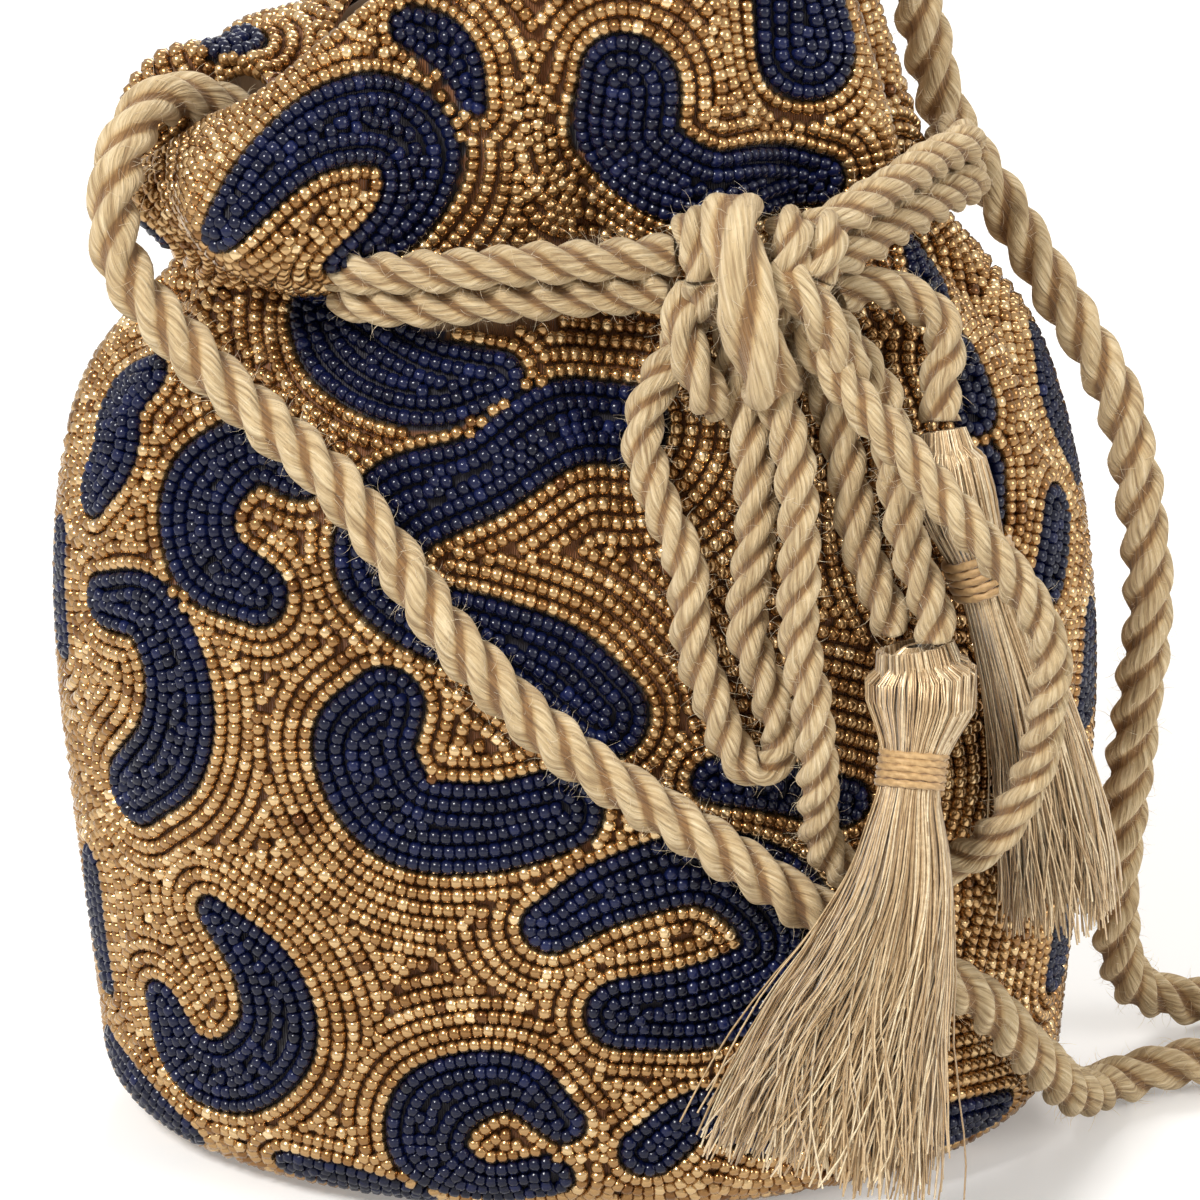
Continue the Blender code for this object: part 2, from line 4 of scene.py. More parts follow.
import bmesh
import bpy
import numpy as np
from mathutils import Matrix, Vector


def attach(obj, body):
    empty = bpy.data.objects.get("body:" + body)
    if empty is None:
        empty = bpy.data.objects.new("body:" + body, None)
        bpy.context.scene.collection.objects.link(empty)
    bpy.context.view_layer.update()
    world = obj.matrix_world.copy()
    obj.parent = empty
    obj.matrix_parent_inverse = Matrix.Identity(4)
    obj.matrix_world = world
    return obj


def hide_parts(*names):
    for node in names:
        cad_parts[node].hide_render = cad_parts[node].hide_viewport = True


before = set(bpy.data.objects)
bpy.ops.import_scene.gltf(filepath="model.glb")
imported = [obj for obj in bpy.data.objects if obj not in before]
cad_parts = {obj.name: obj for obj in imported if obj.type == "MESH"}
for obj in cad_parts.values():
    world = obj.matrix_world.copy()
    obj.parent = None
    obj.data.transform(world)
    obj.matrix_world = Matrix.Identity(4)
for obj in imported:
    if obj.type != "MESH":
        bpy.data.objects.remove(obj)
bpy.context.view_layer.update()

scene = bpy.context.scene
mm = 0.001


# Camera, lights and floor

view = {
    "target": (0.0029, -0.036, 0.101),
    "distance": 0.80,
    "elevation": 24,            # degrees, seen from the front
    "lens": 165.5,
    "sensor": 36,
}


def addCamera():
    data = bpy.data.cameras.new("photoCamera")
    data.lens, data.sensor_width = view["lens"], view["sensor"]
    data.clip_start, data.clip_end = 0.05, 20
    camera = bpy.data.objects.new("photoCamera", data)
    tilt = math.radians(view["elevation"])
    back = Vector((0, -math.cos(tilt), math.sin(tilt)))
    camera.location = Vector(view["target"]) + back * view["distance"]
    camera.rotation_euler = back.to_track_quat("Z", "Y").to_euler()
    scene.collection.objects.link(camera)
    scene.camera = camera


lampAim = (0, 0, 0.09)
lamps = {
    "key": {"place": (-0.55, -0.75, 1.05), "size": 0.34, "power": 17},
    "side": {"place": (0.85, -0.45, 0.55), "size": 0.5, "power": 4.5},
    "behind": {"place": (0.1, 0.8, 0.9), "size": 0.6, "power": 7},
}


def addLamp(name, place, size, power):
    data = bpy.data.lights.new(name, "AREA")
    data.size, data.energy = size, power
    lamp = bpy.data.objects.new(name, data)
    lamp.location = place
    lamp.rotation_euler = (Vector(place) - Vector(lampAim)).to_track_quat("Z", "Y").to_euler()
    scene.collection.objects.link(lamp)


def setInputs(tree, node, inputs):
    # each input takes a link from a socket, or a value
    for name, value in inputs.items():
        if isinstance(value, bpy.types.NodeSocket):
            tree.links.new(value, node.inputs[name])
        else:
            node.inputs[name].default_value = value


def addNode(tree, kind, inputs, **settings):
    node = tree.nodes.new(kind)
    for name, value in settings.items():
        setattr(node, name, value)
    setInputs(tree, node, inputs)
    return node


def pathSwitch(tree, seen, unseen):
    # one value for the camera, mirrors and glass, another for the light on the object
    path = tree.nodes.new("ShaderNodeLightPath")
    either = addNode(tree, "ShaderNodeMath", {
        0: path.outputs["Is Camera Ray"], 1: path.outputs["Is Glossy Ray"]}, operation="MAXIMUM")
    blend = addNode(tree, "ShaderNodeMix", {"A": unseen, "B": seen, "Factor": either.outputs[0]})
    return blend.outputs["Result"]


stage = {"worldSeen": 0.90, "worldUnseen": 0.42, "floorSeen": 0.24, "floorUnseen": 0.0, "floorSize": 12}


def addStage():
    world = bpy.data.worlds.new("studio")
    world.use_nodes = True
    setInputs(world.node_tree, world.node_tree.nodes["Background"], {
        "Color": (1.0, 0.985, 0.96, 1),
        "Strength": pathSwitch(world.node_tree, stage["worldSeen"], stage["worldUnseen"])})
    scene.world = world
    bpy.ops.mesh.primitive_plane_add(size=stage["floorSize"], location=(0, 0, -0.0005))
    floor = bpy.context.object
    floor.name = "studioFloor"
    finish, tree, shader = newFinish("paleFloor")
    setInputs(tree, shader, {
        "Base Color": (0.80, 0.79, 0.77, 1), "Roughness": 0.8, "Emission Color": (1.0, 0.99, 0.97, 1),
        "Emission Strength": pathSwitch(tree, stage["floorSeen"], stage["floorUnseen"])})
    floor.data.materials.append(finish)


def newFinish(name):
    finish = bpy.data.materials.new(name)
    finish.use_nodes = True
    return finish, finish.node_tree, finish.node_tree.nodes["Principled BSDF"]


scene.view_settings.view_transform = "Standard"
addCamera()
for lampName, lampSettings in lamps.items():
    addLamp(lampName, **lampSettings)
addStage()
print("camera, lights and floor are set")


# Finishes

def colourRamp(tree, source, stops):
    node = addNode(tree, "ShaderNodeValToRGB", {"Fac": source})
    elements = node.color_ramp.elements
    while len(elements) < len(stops):
        elements.new(0.5)
    for element, (place, colour) in zip(elements, stops):
        element.position = place
        element.color = (*colour, 1)
    return node.outputs["Color"]


def multiplied(tree, first, second):
    return addNode(tree, "ShaderNodeMix", {"Factor": 1.0, "A": first, "B": second},
                   data_type="RGBA", blend_type="MULTIPLY").outputs["Result"]


def noiseOf(tree, vector, scale, detail=3.0, roughness=0.55):
    return addNode(tree, "ShaderNodeTexNoise", {
        "Vector": vector, "Scale": scale, "Detail": detail, "Roughness": roughness}).outputs["Fac"]


def bumped(tree, height, distance, strength=1.0):
    return addNode(tree, "ShaderNodeBump", {
        "Height": height, "Distance": distance, "Strength": strength}).outputs["Normal"]


def objectPlace(tree):
    return tree.nodes.new("ShaderNodeTexCoord").outputs["Object"]


def mapped(tree, vector, scale):
    return addNode(tree, "ShaderNodeMapping", {"Vector": vector, "Scale": scale}).outputs["Vector"]


def storedValue(tree, name, output="Fac"):
    return addNode(tree, "ShaderNodeAttribute", {}, attribute_name=name).outputs[output]


def beadFinish(name, stops, roughness, metallic, coat, specular=0.5):
    finish, tree, shader = newFinish(name)
    setInputs(tree, shader, {
        "Base Color": colourRamp(tree, storedValue(tree, "tone"), stops), "Roughness": roughness,
        "Metallic": metallic, "Coat Weight": coat, "Coat Roughness": 0.08, "Specular IOR Level": specular})
    return finish


goldFinish = beadFinish("goldBeads", [
    (0.0, (0.11, 0.040, 0.010)), (0.3, (0.27, 0.135, 0.042)), (0.65, (0.47, 0.29, 0.125)),
    (1.0, (0.80, 0.60, 0.33))], 0.22, 0.88, 0.25)
navyFinish = beadFinish("navyBeads", [
    (0.0, (0.0015, 0.002, 0.009)), (0.6, (0.003, 0.005, 0.026)), (1.0, (0.008, 0.013, 0.062))],
    0.20, 0.0, 0.12, 0.27)


def clothFinish():
    # the backing cloth is tan where no beads are sewn; between the beads it is painted deep brown as the shade
    # that falls there, and tinted navy under the navy fields
    finish, tree, shader = newFinish("backingCloth")
    place = objectPlace(tree)
    weave = addNode(tree, "ShaderNodeTexWave", {"Vector": place, "Scale": 900, "Distortion": 2})
    # painted shade: cloth under the beads (bare near 0) is deep brown, bare cloth (bare 1) is tan
    tone = colourRamp(tree, storedValue(tree, "bare"), [
        (0.0, (0.24, 0.085, 0.020)), (0.5, (0.30, 0.15, 0.055)), (1.0, (0.56, 0.40, 0.24))])
    shade = colourRamp(tree, noiseOf(tree, place, 700), [(0.3, (0.72, 0.72, 0.72)), (0.7, (1, 1, 1))])
    dark = colourRamp(tree, storedValue(tree, "navy"), [(0.3, (1, 1, 1)), (0.7, (0.06, 0.12, 0.9))])
    setInputs(tree, shader, {
        "Base Color": multiplied(tree, multiplied(tree, tone, shade), dark), "Roughness": 0.85,
        "Sheen Weight": 0.2, "Normal": bumped(tree, weave.outputs["Fac"], 0.0002)})
    return finish


def satinFinish():
    finish, tree, shader = newFinish("liningSatin")
    place = objectPlace(tree)
    tone = colourRamp(tree, noiseOf(tree, place, 60), [
        (0.25, (0.36, 0.235, 0.135)), (0.75, (0.55, 0.39, 0.245))])
    thread = noiseOf(tree, mapped(tree, place, (2600, 2600, 300)), 1.0, 2)
    shade = colourRamp(tree, thread, [(0.3, (0.86, 0.86, 0.86)), (0.7, (1, 1, 1))])
    setInputs(tree, shader, {
        "Base Color": multiplied(tree, tone, shade), "Roughness": 0.42, "Sheen Weight": 0.35,
        "Sheen Roughness": 0.4, "Normal": bumped(tree, thread, 0.0001, 0.6)})
    return finish


def ropeFinish(name, stops):
    # the "lay" attribute is (cosine, sine, run) round each cord, so fibres run along it without a seam
    finish, tree, shader = newFinish(name)
    lay = storedValue(tree, "lay", "Vector")
    fine = noiseOf(tree, mapped(tree, lay, (6.5, 6.5, 0.9)), 1.0, 4, 0.62)
    broad = noiseOf(tree, mapped(tree, lay, (1.5, 1.5, 0.5)), 1.0, 3, 0.5)
    shade = colourRamp(tree, broad, [(0.3, (0.82, 0.77, 0.70)), (0.65, (1, 1, 1))])
    # painted shade: the grooves between the strands are darkened, as the shadow that falls in them
    grooveShade = colourRamp(tree, storedValue(tree, "grooveShade"), [
        (0.0, (0.42, 0.27, 0.14)), (0.22, (0.84, 0.74, 0.60)), (0.5, (1, 1, 1))])
    toned = multiplied(tree, multiplied(tree, colourRamp(tree, fine, stops), shade), grooveShade)
    setInputs(tree, shader, {
        "Base Color": toned, "Roughness": 0.92, "Sheen Weight": 0.3, "Sheen Roughness": 0.6,
        "Sheen Tint": (1.0, 0.86, 0.66, 1), "Normal": bumped(tree, fine, 0.0010)})
    return finish


cordFinish = ropeFinish("beigeCord", [
    (0.34, (0.33, 0.215, 0.100)), (0.5, (0.61, 0.455, 0.250)), (0.66, (0.82, 0.665, 0.42))])


def threadFinish(name, stops, roughness, metallic):
    finish, tree, shader = newFinish(name)
    shade = colourRamp(tree, noiseOf(tree, objectPlace(tree), 1500, 2), [
        (0.35, (0.78, 0.74, 0.68)), (0.65, (1, 1, 1))])
    setInputs(tree, shader, {
        "Base Color": multiplied(tree, colourRamp(tree, storedValue(tree, "tone"), stops), shade),
        "Roughness": roughness, "Metallic": metallic, "Sheen Weight": 0.3})
    return finish


tasselFinish = threadFinish("champagneThread", [
    (0.0, (0.40, 0.255, 0.12)), (0.45, (0.72, 0.52, 0.29)), (1.0, (0.95, 0.80, 0.55))], 0.30, 0.35)
bindingFinish = threadFinish("bindingThread", [
    (0.0, (0.38, 0.22, 0.085)), (1.0, (0.64, 0.42, 0.19))], 0.55, 0.1)
clothMaterial = clothFinish()
satinMaterial = satinFinish()
print("finishes are made")


# The bag's surface: the same body and collar as the solids, on arrays of
# places (angle round the bag in degrees, length up the cloth in metres)

bag = {
    "baseWidth": 0.150, "baseDepth": 0.092, "baseRound": 0.013,
    "bagWidth": 0.158, "bagDepth": 0.096, "widestHeight": 0.078,
    "shoulderWidth": 0.146, "shoulderDepth": 0.082, "shoulderHeight": 0.120,
    "neckWidth": 0.112, "neckDepth": 0.054, "neckHeight": 0.144, "neckTilt": 0.004, "neckShift": -0.004,
    "collarHeight": 0.047, "collarLean": -0.009, "gatherReach": 0.030,
    "shellWall": 0.0019, "clothUnder": 0.0014,      # the cloth lies this far under the beads' mean height
}

gathers = [   # place and half width in degrees, depth inwards
    (-168, 9, 0.0035), (-140, 9, 0.0030), (-110, 8, -0.0015), (-96, 7, -0.0025), (-82, 6, 0.0055),
    (-66, 8, -0.0020), (-48, 7, 0.0035), (-30, 8, -0.0015), (-12, 8, 0.0035), (12, 9, -0.0020),
    (32, 8, 0.0040), (52, 9, -0.0020), (72, 8, 0.0040), (92, 9, -0.0020), (112, 8, 0.0035),
    (134, 9, -0.0020), (156, 8, 0.0030),
]

collarSection = [(0.002, 0.30), (0.004, 0.66), (-0.002, 1.0)]
collarFolds = [   # place, half width, then (out, up) for the low, high and rim points
    (6, 36, (-0.005, 0), (-0.006, 0), (-0.003, 0)),
    (-58, 26, (0.004, 0), (0.007, 0), (0.003, 0)),
    (-99, 9, (-0.005, 0), (-0.010, 0), (-0.010, 0)),
    (-126, 16, (0.009, -0.006), (0.034, -0.012), (0.004, -0.010)),
    (-157, 23, (0.005, -0.006), (0.004, -0.016), (0.003, -0.027)),
    (144, 26, (0.003, 0.006), (-0.006, 0.021), (-0.036, -0.027)),
    (180, 16, (0.004, 0.002), (0.002, 0.006), (-0.010, -0.006)),
]


def smoothStep(value):
    value = np.clip(value, 0.0, 1.0)
    return value * value * (3 - 2 * value)


def turnBetween(first, second):
    return (first - second + 180) % 360 - 180


def spansOf(points):
    # each span's two ends, between the point before them and the point after them
    ends = np.vstack([2 * points[0] - points[1], points, 2 * points[-1] - points[-2]])
    return zip(ends, ends[1:], ends[2:], ends[3:])


def spanPoints(a, b, c, d, t):
    # on the smooth curve from b to c
    bend = 2 * a - 5 * b + 4 * c - d
    return 0.5 * (2 * b + (c - a) * t + bend * t ** 2 + (3 * b - a - 3 * c + d) * t ** 3)


def runAlong(points):
    return np.concatenate([[0], np.cumsum(np.linalg.norm(np.diff(points, axis=0), axis=1))])


def sampled(at, run, block):
    # the rows of a block, read at places between them
    return np.stack([np.interp(at, run, column) for column in block.T], 1)


def smoothLine(points, spacing):
    # points about `spacing` apart on a smooth curve through the given ones, and its length
    points = np.array(points, float)
    t = (np.arange(24) / 24)[:, None]
    fine = np.vstack([*[spanPoints(*span, t) for span in spansOf(points)], points[-1:]])
    run = runAlong(fine)
    count = max(2, round(run[-1] / spacing))
    return sampled(np.linspace(0, run[-1], count + 1), run, fine), run[-1]


def bodyProfile():
    turns = np.radians(90 * np.arange(8) / 8)
    inwards = bag["baseRound"] * (1 - np.sin(turns))
    low = np.stack([bag["baseRound"] * (1 - np.cos(turns)), bag["baseWidth"] / 2 - inwards,
                    bag["baseDepth"] / 2 - inwards], 1)
    keys = [(bag["baseRound"], bag["baseWidth"] / 2, bag["baseDepth"] / 2),
            (bag["widestHeight"], bag["bagWidth"] / 2, bag["bagDepth"] / 2),
            (bag["shoulderHeight"], bag["shoulderWidth"] / 2, bag["shoulderDepth"] / 2),
            (bag["neckHeight"], bag["neckWidth"] / 2, bag["neckDepth"] / 2)]
    ring = np.vstack([low, smoothLine(keys, 0.002)[0]])
    return ring, runAlong(ring[:, :2])


profile, profileRun = bodyProfile()
bodyLength = profileRun[-1]
rimLength = bodyLength + bag["collarHeight"]


def bagFace(angle, upCloth):
    angle, upCloth = np.broadcast_arrays(np.asarray(angle, float), np.asarray(upCloth, float))
    height, halfWidth, halfDepth = [np.interp(upCloth, profileRun, profile[:, k]) for k in range(3)]
    onBody = np.minimum(upCloth, bodyLength)
    gather = sum(depth * np.exp(-(turnBetween(angle, place) / width) ** 2) for place, width, depth in gathers)
    inwards = gather * smoothStep(1 - (bodyLength - onBody) / (2 * bag["gatherReach"]))
    turn = np.radians(angle)
    rise = smoothStep(onBody / bodyLength) ** 3
    x = (halfWidth - inwards) * np.cos(turn) + bag["neckShift"] * rise
    y = (halfDepth - inwards) * np.sin(turn)
    z = height + bag["neckTilt"] * np.cos(turn) * rise
    part = np.clip((upCloth - bodyLength) / bag["collarHeight"], 0, 1)
    outX, outY = np.cos(turn) / bag["neckWidth"], np.sin(turn) / bag["neckDepth"]
    size = np.hypot(outX, outY)
    weights = [3 * part * (1 - part) ** 2, 3 * part ** 2 * (1 - part), part ** 3]
    for index, weight in enumerate(weights):
        out = collarSection[index][0]
        up = collarSection[index][1] * bag["collarHeight"]
        for place, width, *moves in collarFolds:
            share = np.exp(-(turnBetween(angle, place) / width) ** 2)
            out = out + moves[index][0] * share
            up = up + moves[index][1] * share
        x = x + weight * out * outX / size
        y = y + weight * out * outY / size
        z = z + weight * up
    x = x + bag["collarLean"] * smoothStep(part)
    return np.stack([x, y, z], -1)


def bagNormal(angle, upCloth, turnStep=0.8, upStep=0.0008):
    above = bagFace(angle, np.minimum(upCloth + upStep, rimLength))
    rise = above - bagFace(angle, np.maximum(upCloth - upStep, 0))
    around = bagFace(angle + turnStep, upCloth) - bagFace(angle - turnStep, upCloth)
    normal = np.cross(around, rise)
    return normal / np.linalg.norm(normal, axis=-1, keepdims=True)


def under(angle, upCloth, inset):
    # place under the bag's outer face; a negative inset is above it
    return bagFace(angle, upCloth) - bagNormal(angle, upCloth) * np.asarray(inset)[..., None]


# Meshes and pieces

def link(name, data, finish=None):
    made = bpy.data.objects.new(name, data)
    scene.collection.objects.link(made)
    if finish:
        data.materials.append(finish)
    return made


def addValues(mesh, values):
    # one number or one vector on each point
    for title, array in values.items():
        isVector = np.size(array) == 3 * len(mesh.vertices)
        layer = mesh.attributes.new(title, "FLOAT_VECTOR" if isVector else "FLOAT", "POINT")
        layer.data.foreach_set("vector" if isVector else "value", np.asarray(array, np.float32).ravel())


def gridMesh(name, points, finish, values):
    # closed rings of points, joined into quads
    index = np.arange(points.shape[0] * points.shape[1]).reshape(points.shape[:2])
    right = np.roll(index, -1, axis=1)
    faces = np.stack([index[:-1], right[:-1], right[1:], index[1:]], -1).reshape(-1, 4)
    mesh = bpy.data.meshes.new(name)
    mesh.from_pydata(points.reshape(-1, 3).tolist(), [], faces.tolist())
    addValues(mesh, values)
    mesh.shade_smooth()
    return link(name, mesh, finish)


def joinedMesh(name, pieces):
    work = bmesh.new()
    for piece in pieces:
        work.from_mesh(piece.data)
    mesh = bpy.data.meshes.new(name)
    work.to_mesh(mesh)
    work.free()
    return mesh


def sealPoles(mesh):
    # the points at each pole become one, and the faces turn outwards
    work = bmesh.new()
    work.from_mesh(mesh)
    bmesh.ops.remove_doubles(work, verts=work.verts, dist=1e-6)
    bmesh.ops.recalc_face_normals(work, faces=work.faces)
    work.to_mesh(mesh)
    work.free()


def repeatedBody(name, points, faces):
    # what Geometry Nodes repeat, itself out of the picture
    mesh = bpy.data.meshes.new(name)
    mesh.from_pydata(points, [], faces)
    mesh.shade_smooth()
    made = link(name, mesh)
    made.hide_render = True
    return made


def riding(piece, slotName, *nodes):
    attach(piece, "root")
    if nodes:
        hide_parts(*nodes)
    return piece


# Geometry Nodes: inputs by name, and the result as a mesh of its own

def startTree(name, sockets):
    # a tree for a geometry and named inputs, with their identifiers and the sockets that give them
    tree = bpy.data.node_groups.new(name, "GeometryNodeTree")
    tree.interface.new_socket("Geometry", in_out="INPUT", socket_type="NodeSocketGeometry")
    identifiers = {}
    for title, (kind, value) in sockets.items():
        socket = tree.interface.new_socket(title, in_out="INPUT", socket_type="NodeSocket" + kind)
        if value is not None:
            socket.default_value = value
        identifiers[title] = socket.identifier
    tree.interface.new_socket("Geometry", in_out="OUTPUT", socket_type="NodeSocketGeometry")
    return tree, identifiers, tree.nodes.new("NodeGroupInput").outputs


def endTree(tree, geometry, finish):
    # made real, because the export drops instances, and given its finish
    real = addNode(tree, "GeometryNodeRealizeInstances", {"Geometry": geometry})
    coat = addNode(tree, "GeometryNodeSetMaterial", {
        "Geometry": real.outputs["Geometry"], "Material": finish})
    addNode(tree, "NodeGroupOutput", {"Geometry": coat.outputs["Geometry"]})


def grownMesh(name, source, tree, settings):
    # the evaluated nodes as a plain mesh of its own, with the modifier and its carrier gone
    modifier = source.modifiers.new("grow", "NODES")
    modifier.node_group = tree
    for identifier, value in settings.items():
        modifier[identifier] = value
    bpy.context.view_layer.update()
    graph = bpy.context.evaluated_depsgraph_get()
    mesh = bpy.data.meshes.new_from_object(source.evaluated_get(graph), preserve_all_data_layers=True,
                                           depsgraph=graph)
    mesh.name = name
    bpy.data.objects.remove(source)
    return link(name, mesh)


# Twisted cords: one tube with three strands in its outline

rope = {
    "strands": 3, "sides": 30, "step": 0.00055, "fullness": 1.17,
    "turnLength": 3.1,                                # one turn, in diameters
    "spread": 1.1547,                                 # from the cord's middle to a strand's, in strand radii
    "grooveFloor": 0.335,                             # least radius of the outline, in diameters
    "wander": [(0.025, 410, 1), (0.02, 1130, 2)],     # share, waves, and how much of the phase
    "lowest": 0.0001,                                 # the cord lies on the floor
}


def framesAlong(path):
    # across and up directions that don't twist along the path
    ahead = np.gradient(path, axis=0)
    ahead /= np.linalg.norm(ahead, axis=1, keepdims=True)
    across = np.zeros_like(path)
    first = np.cross(ahead[0], [0.13, 0.2, 0.97])
    across[0] = first / np.linalg.norm(first)
    for i in range(1, len(path)):
        side = across[i - 1] - ahead[i] * np.dot(across[i - 1], ahead[i])
        across[i] = side / np.linalg.norm(side)
    return across, np.cross(ahead, across)


def strandOutline(turn, diameter):
    # radius and groove depth of the outline of three touching strands; the groove depth masks the painted
    # shade in the grooves
    strand = diameter / 2 / (1 + rope["spread"])
    offset = rope["spread"] * strand
    part = math.tau / rope["strands"]
    local = (turn + part / 2) % part - part / 2
    radius = offset * np.cos(local) + np.sqrt(np.maximum(strand ** 2 - (offset * np.sin(local)) ** 2, 1e-12))
    radius = np.maximum(radius, rope["grooveFloor"] * diameter)
    grooveShade = (radius / diameter - rope["grooveFloor"]) / (0.5 - rope["grooveFloor"])
    return radius * rope["fullness"], grooveShade


def ropePoints(path, diameter, twist=1.0, phase=0.0):
    # rings of points with a pole at each end, and their painted groove shade and lay values
    across, up = framesAlong(path)
    run = runAlong(path)
    around = math.tau * np.arange(rope["sides"]) / rope["sides"]
    turn = around[None, :] - twist * math.tau * run[:, None] / (rope["turnLength"] * diameter) + phase
    radius, grooveShade = strandOutline(turn, diameter)
    wander = sum(share * np.sin(run * waves + part * phase) for share, waves, part in rope["wander"])
    radius = radius * (1 + wander[:, None])
    points = path[:, None] + radius[..., None] * (np.cos(around)[None, :, None] * across[:, None]
                                                  + np.sin(around)[None, :, None] * up[:, None])
    points = np.concatenate([path[:1, None] + 0 * points[:1], points, path[-1:, None] + 0 * points[:1]])
    points[..., 2] = np.maximum(points[..., 2], rope["lowest"])
    grooveShade = np.concatenate([grooveShade[:1], grooveShade, grooveShade[-1:]])
    lay = np.empty(points.shape)
    lay[..., 0], lay[..., 1] = np.cos(around), np.sin(around)
    lay[1:-1, :, 2] = run[:, None] / diameter
    lay[0, :, 2], lay[-1, :, 2] = 0, run[-1] / diameter
    return points, grooveShade, lay


def ropeMesh(name, path, diameter, **form):
    points, grooveShade, lay = ropePoints(path, diameter, **form)
    return gridMesh(name, points, cordFinish, {"grooveShade": grooveShade, "lay": lay})


def addRope(name, route, diameter, phase):
    path, length = smoothLine(np.array(route) * mm, rope["step"])
    piece = ropeMesh(name, path, diameter, phase=phase)
    sealPoles(piece.data)
    return piece, path, length, diameter


handle = {
    "diameter": 0.0068,
    "route": [
        (-42, 4, 146), (-45, 2, 155), (-52, -4, 165), (-61, -13, 169), (-66, -24, 162), (-65, -31, 151),
        (-56, -35, 140), (-46, -38, 131), (-35, -42, 122), (-26, -47, 112), (-18, -50, 101), (-3, -53, 86),
        (16, -53, 72), (37, -49, 55), (48, -45, 46), (59, -38, 37), (67, -31, 25), (76, -18, 10), (83, -5, 4),
        (94, 1, 4), (108, 3, 4), (117, 12, 4), (109, 21, 4), (97, 21, 5), (89, 16, 10), (85, 11, 20),
        (84, 8, 34), (85, 7, 50), (86, 6, 65), (87, 6, 82), (85, 7, 99), (81, 9, 115), (72, 12, 130),
        (63, 16, 144), (55, 19, 156), (51, 18, 170), (47, 15, 186), (42, 11, 199), (34, 5, 204),
        (26, 1, 197), (24, 0, 184)],
}

drawstring = {
    "diameter": 0.0054,
    "routes": {
        "neck_cord_left_upper": [(-35, -29, 149.6), (-29.4, -34.0, 150.8), (-18, -36, 152), (-6, -36, 153),
                                 (5, -37, 154), (13.6, -37.5, 155)],
        "neck_cord_left_lower": [(-34, -27, 144.6), (-28.6, -32.2, 145.3), (-19, -34, 146), (-5, -34, 147),
                                 (4, -35, 148), (13, -36.6, 149.2)],
        "neck_cord_right_upper": [(32, -37.4, 157.7), (38, -32, 159), (45, -23, 160), (51, -12, 160),
                                  (56, -3, 159), (56, 3, 158), (53.6, 8, 157.2)],
        "neck_cord_right_lower": [(33.3, -36.3, 151.8), (39, -31, 153), (46, -22, 154), (53, -11, 154),
                                  (57, -2, 153), (57, 4, 152), (53.8, 8.4, 151.3)],
        "bow_loop_left": [(16, -36, 145.8), (14, -38, 141), (10, -40, 134), (9, -42, 128), (11, -45, 121),
                          (15, -48, 112), (16, -50, 101), (19, -51, 92), (22, -51, 84), (26, -51, 81),
                          (29, -50, 85), (27, -50, 93), (24, -50, 101), (24, -49, 107), (25, -47, 119),
                          (24, -43, 130), (22, -38, 139), (22, -36, 145.8)],
        "bow_loop_right": [(25.5, -42, 145.8), (27, -45, 138), (30, -48, 129), (31, -52, 117), (31, -54, 104),
                           (33, -56, 93), (34, -55, 83), (35, -50, 69), (40, -47, 62), (47, -46, 61),
                           (56, -44, 63), (62, -46, 70), (66, -47, 80), (67, -49, 90), (67, -51, 100),
                           (62, -53, 111), (54, -54, 121), (46, -51, 130), (38, -47, 138), (31.5, -42, 145.8)],
        "cord_end_left": [(28, -35.5, 145.8), (31, -36, 140), (36, -38, 132), (38, -42, 124), (40, -45, 114),
                          (43, -46, 106), (45, -46, 101)],
        "cord_end_right": [(33.8, -35.5, 145.8), (38, -36, 141), (43, -39.5, 134), (45, -45, 124),
                           (47, -48, 114), (50, -49, 106), (51, -50, 101)],
        "cord_end_back": [(36.4, -32.4, 146.6), (40, -30.6, 147.2), (45, -28, 146), (51, -28, 142),
                          (52.5, -29.5, 137.5), (51.6, -32.6, 133), (51.85, -34.7, 128.4)],
    },
}

ropes = {}
for ropeName, ropeRoute in {"handle_cord": handle["route"], **drawstring["routes"]}.items():
    ropeDiameter = (handle if ropeName == "handle_cord" else drawstring)["diameter"]
    ropes[ropeName] = addRope("twisted_" + ropeName, ropeRoute, ropeDiameter, 0.9 * len(ropes))
    riding(ropes[ropeName][0], "beige_cord", ropeName)
print("cords are laid:", len(ropes))


# The bow's knot: turns of the same cord wound round the four neck cords

knot = {
    "turnThickness": 0.98, "sway": 12, "kink": 0.5, "squash": 0.72,
    "turns": [   # middle, half width, half height, lean
        ((17.2, -39.0, 153.6), 4.2, 8.4, -0.10),
        ((28.6, -39.2, 153.4), 4.6, 8.6, 0.10),
        ((33.0, -38.2, 153.6), 3.8, 7.0, 0.14),
    ],
    "straps": [   # thickness in cord diameters, twist, route
        (1.45, 0.5, [(21.5, -39, 161.5), (21.6, -45.0, 160.6), (22.2, -48.6, 156.5), (23.4, -49.2, 151.0),
                      (24.8, -48.8, 145.5), (26.2, -46.6, 139.8), (27.0, -42.0, 137.6)]),
        (1.00, 0.8, [(15.5, -40, 150.5), (14.5, -43.5, 146.6), (16.0, -45.4, 141.5), (18.0, -44.6, 136.5),
                     (19.0, -40.5, 134.0)]),
        (1.05, 0.8, [(27.0, -43, 155.2), (31.0, -45.0, 152.0), (34.5, -45.2, 147.0), (37.5, -44.2, 141.0),
                     (38.5, -40.0, 138.0)]),
    ],
}


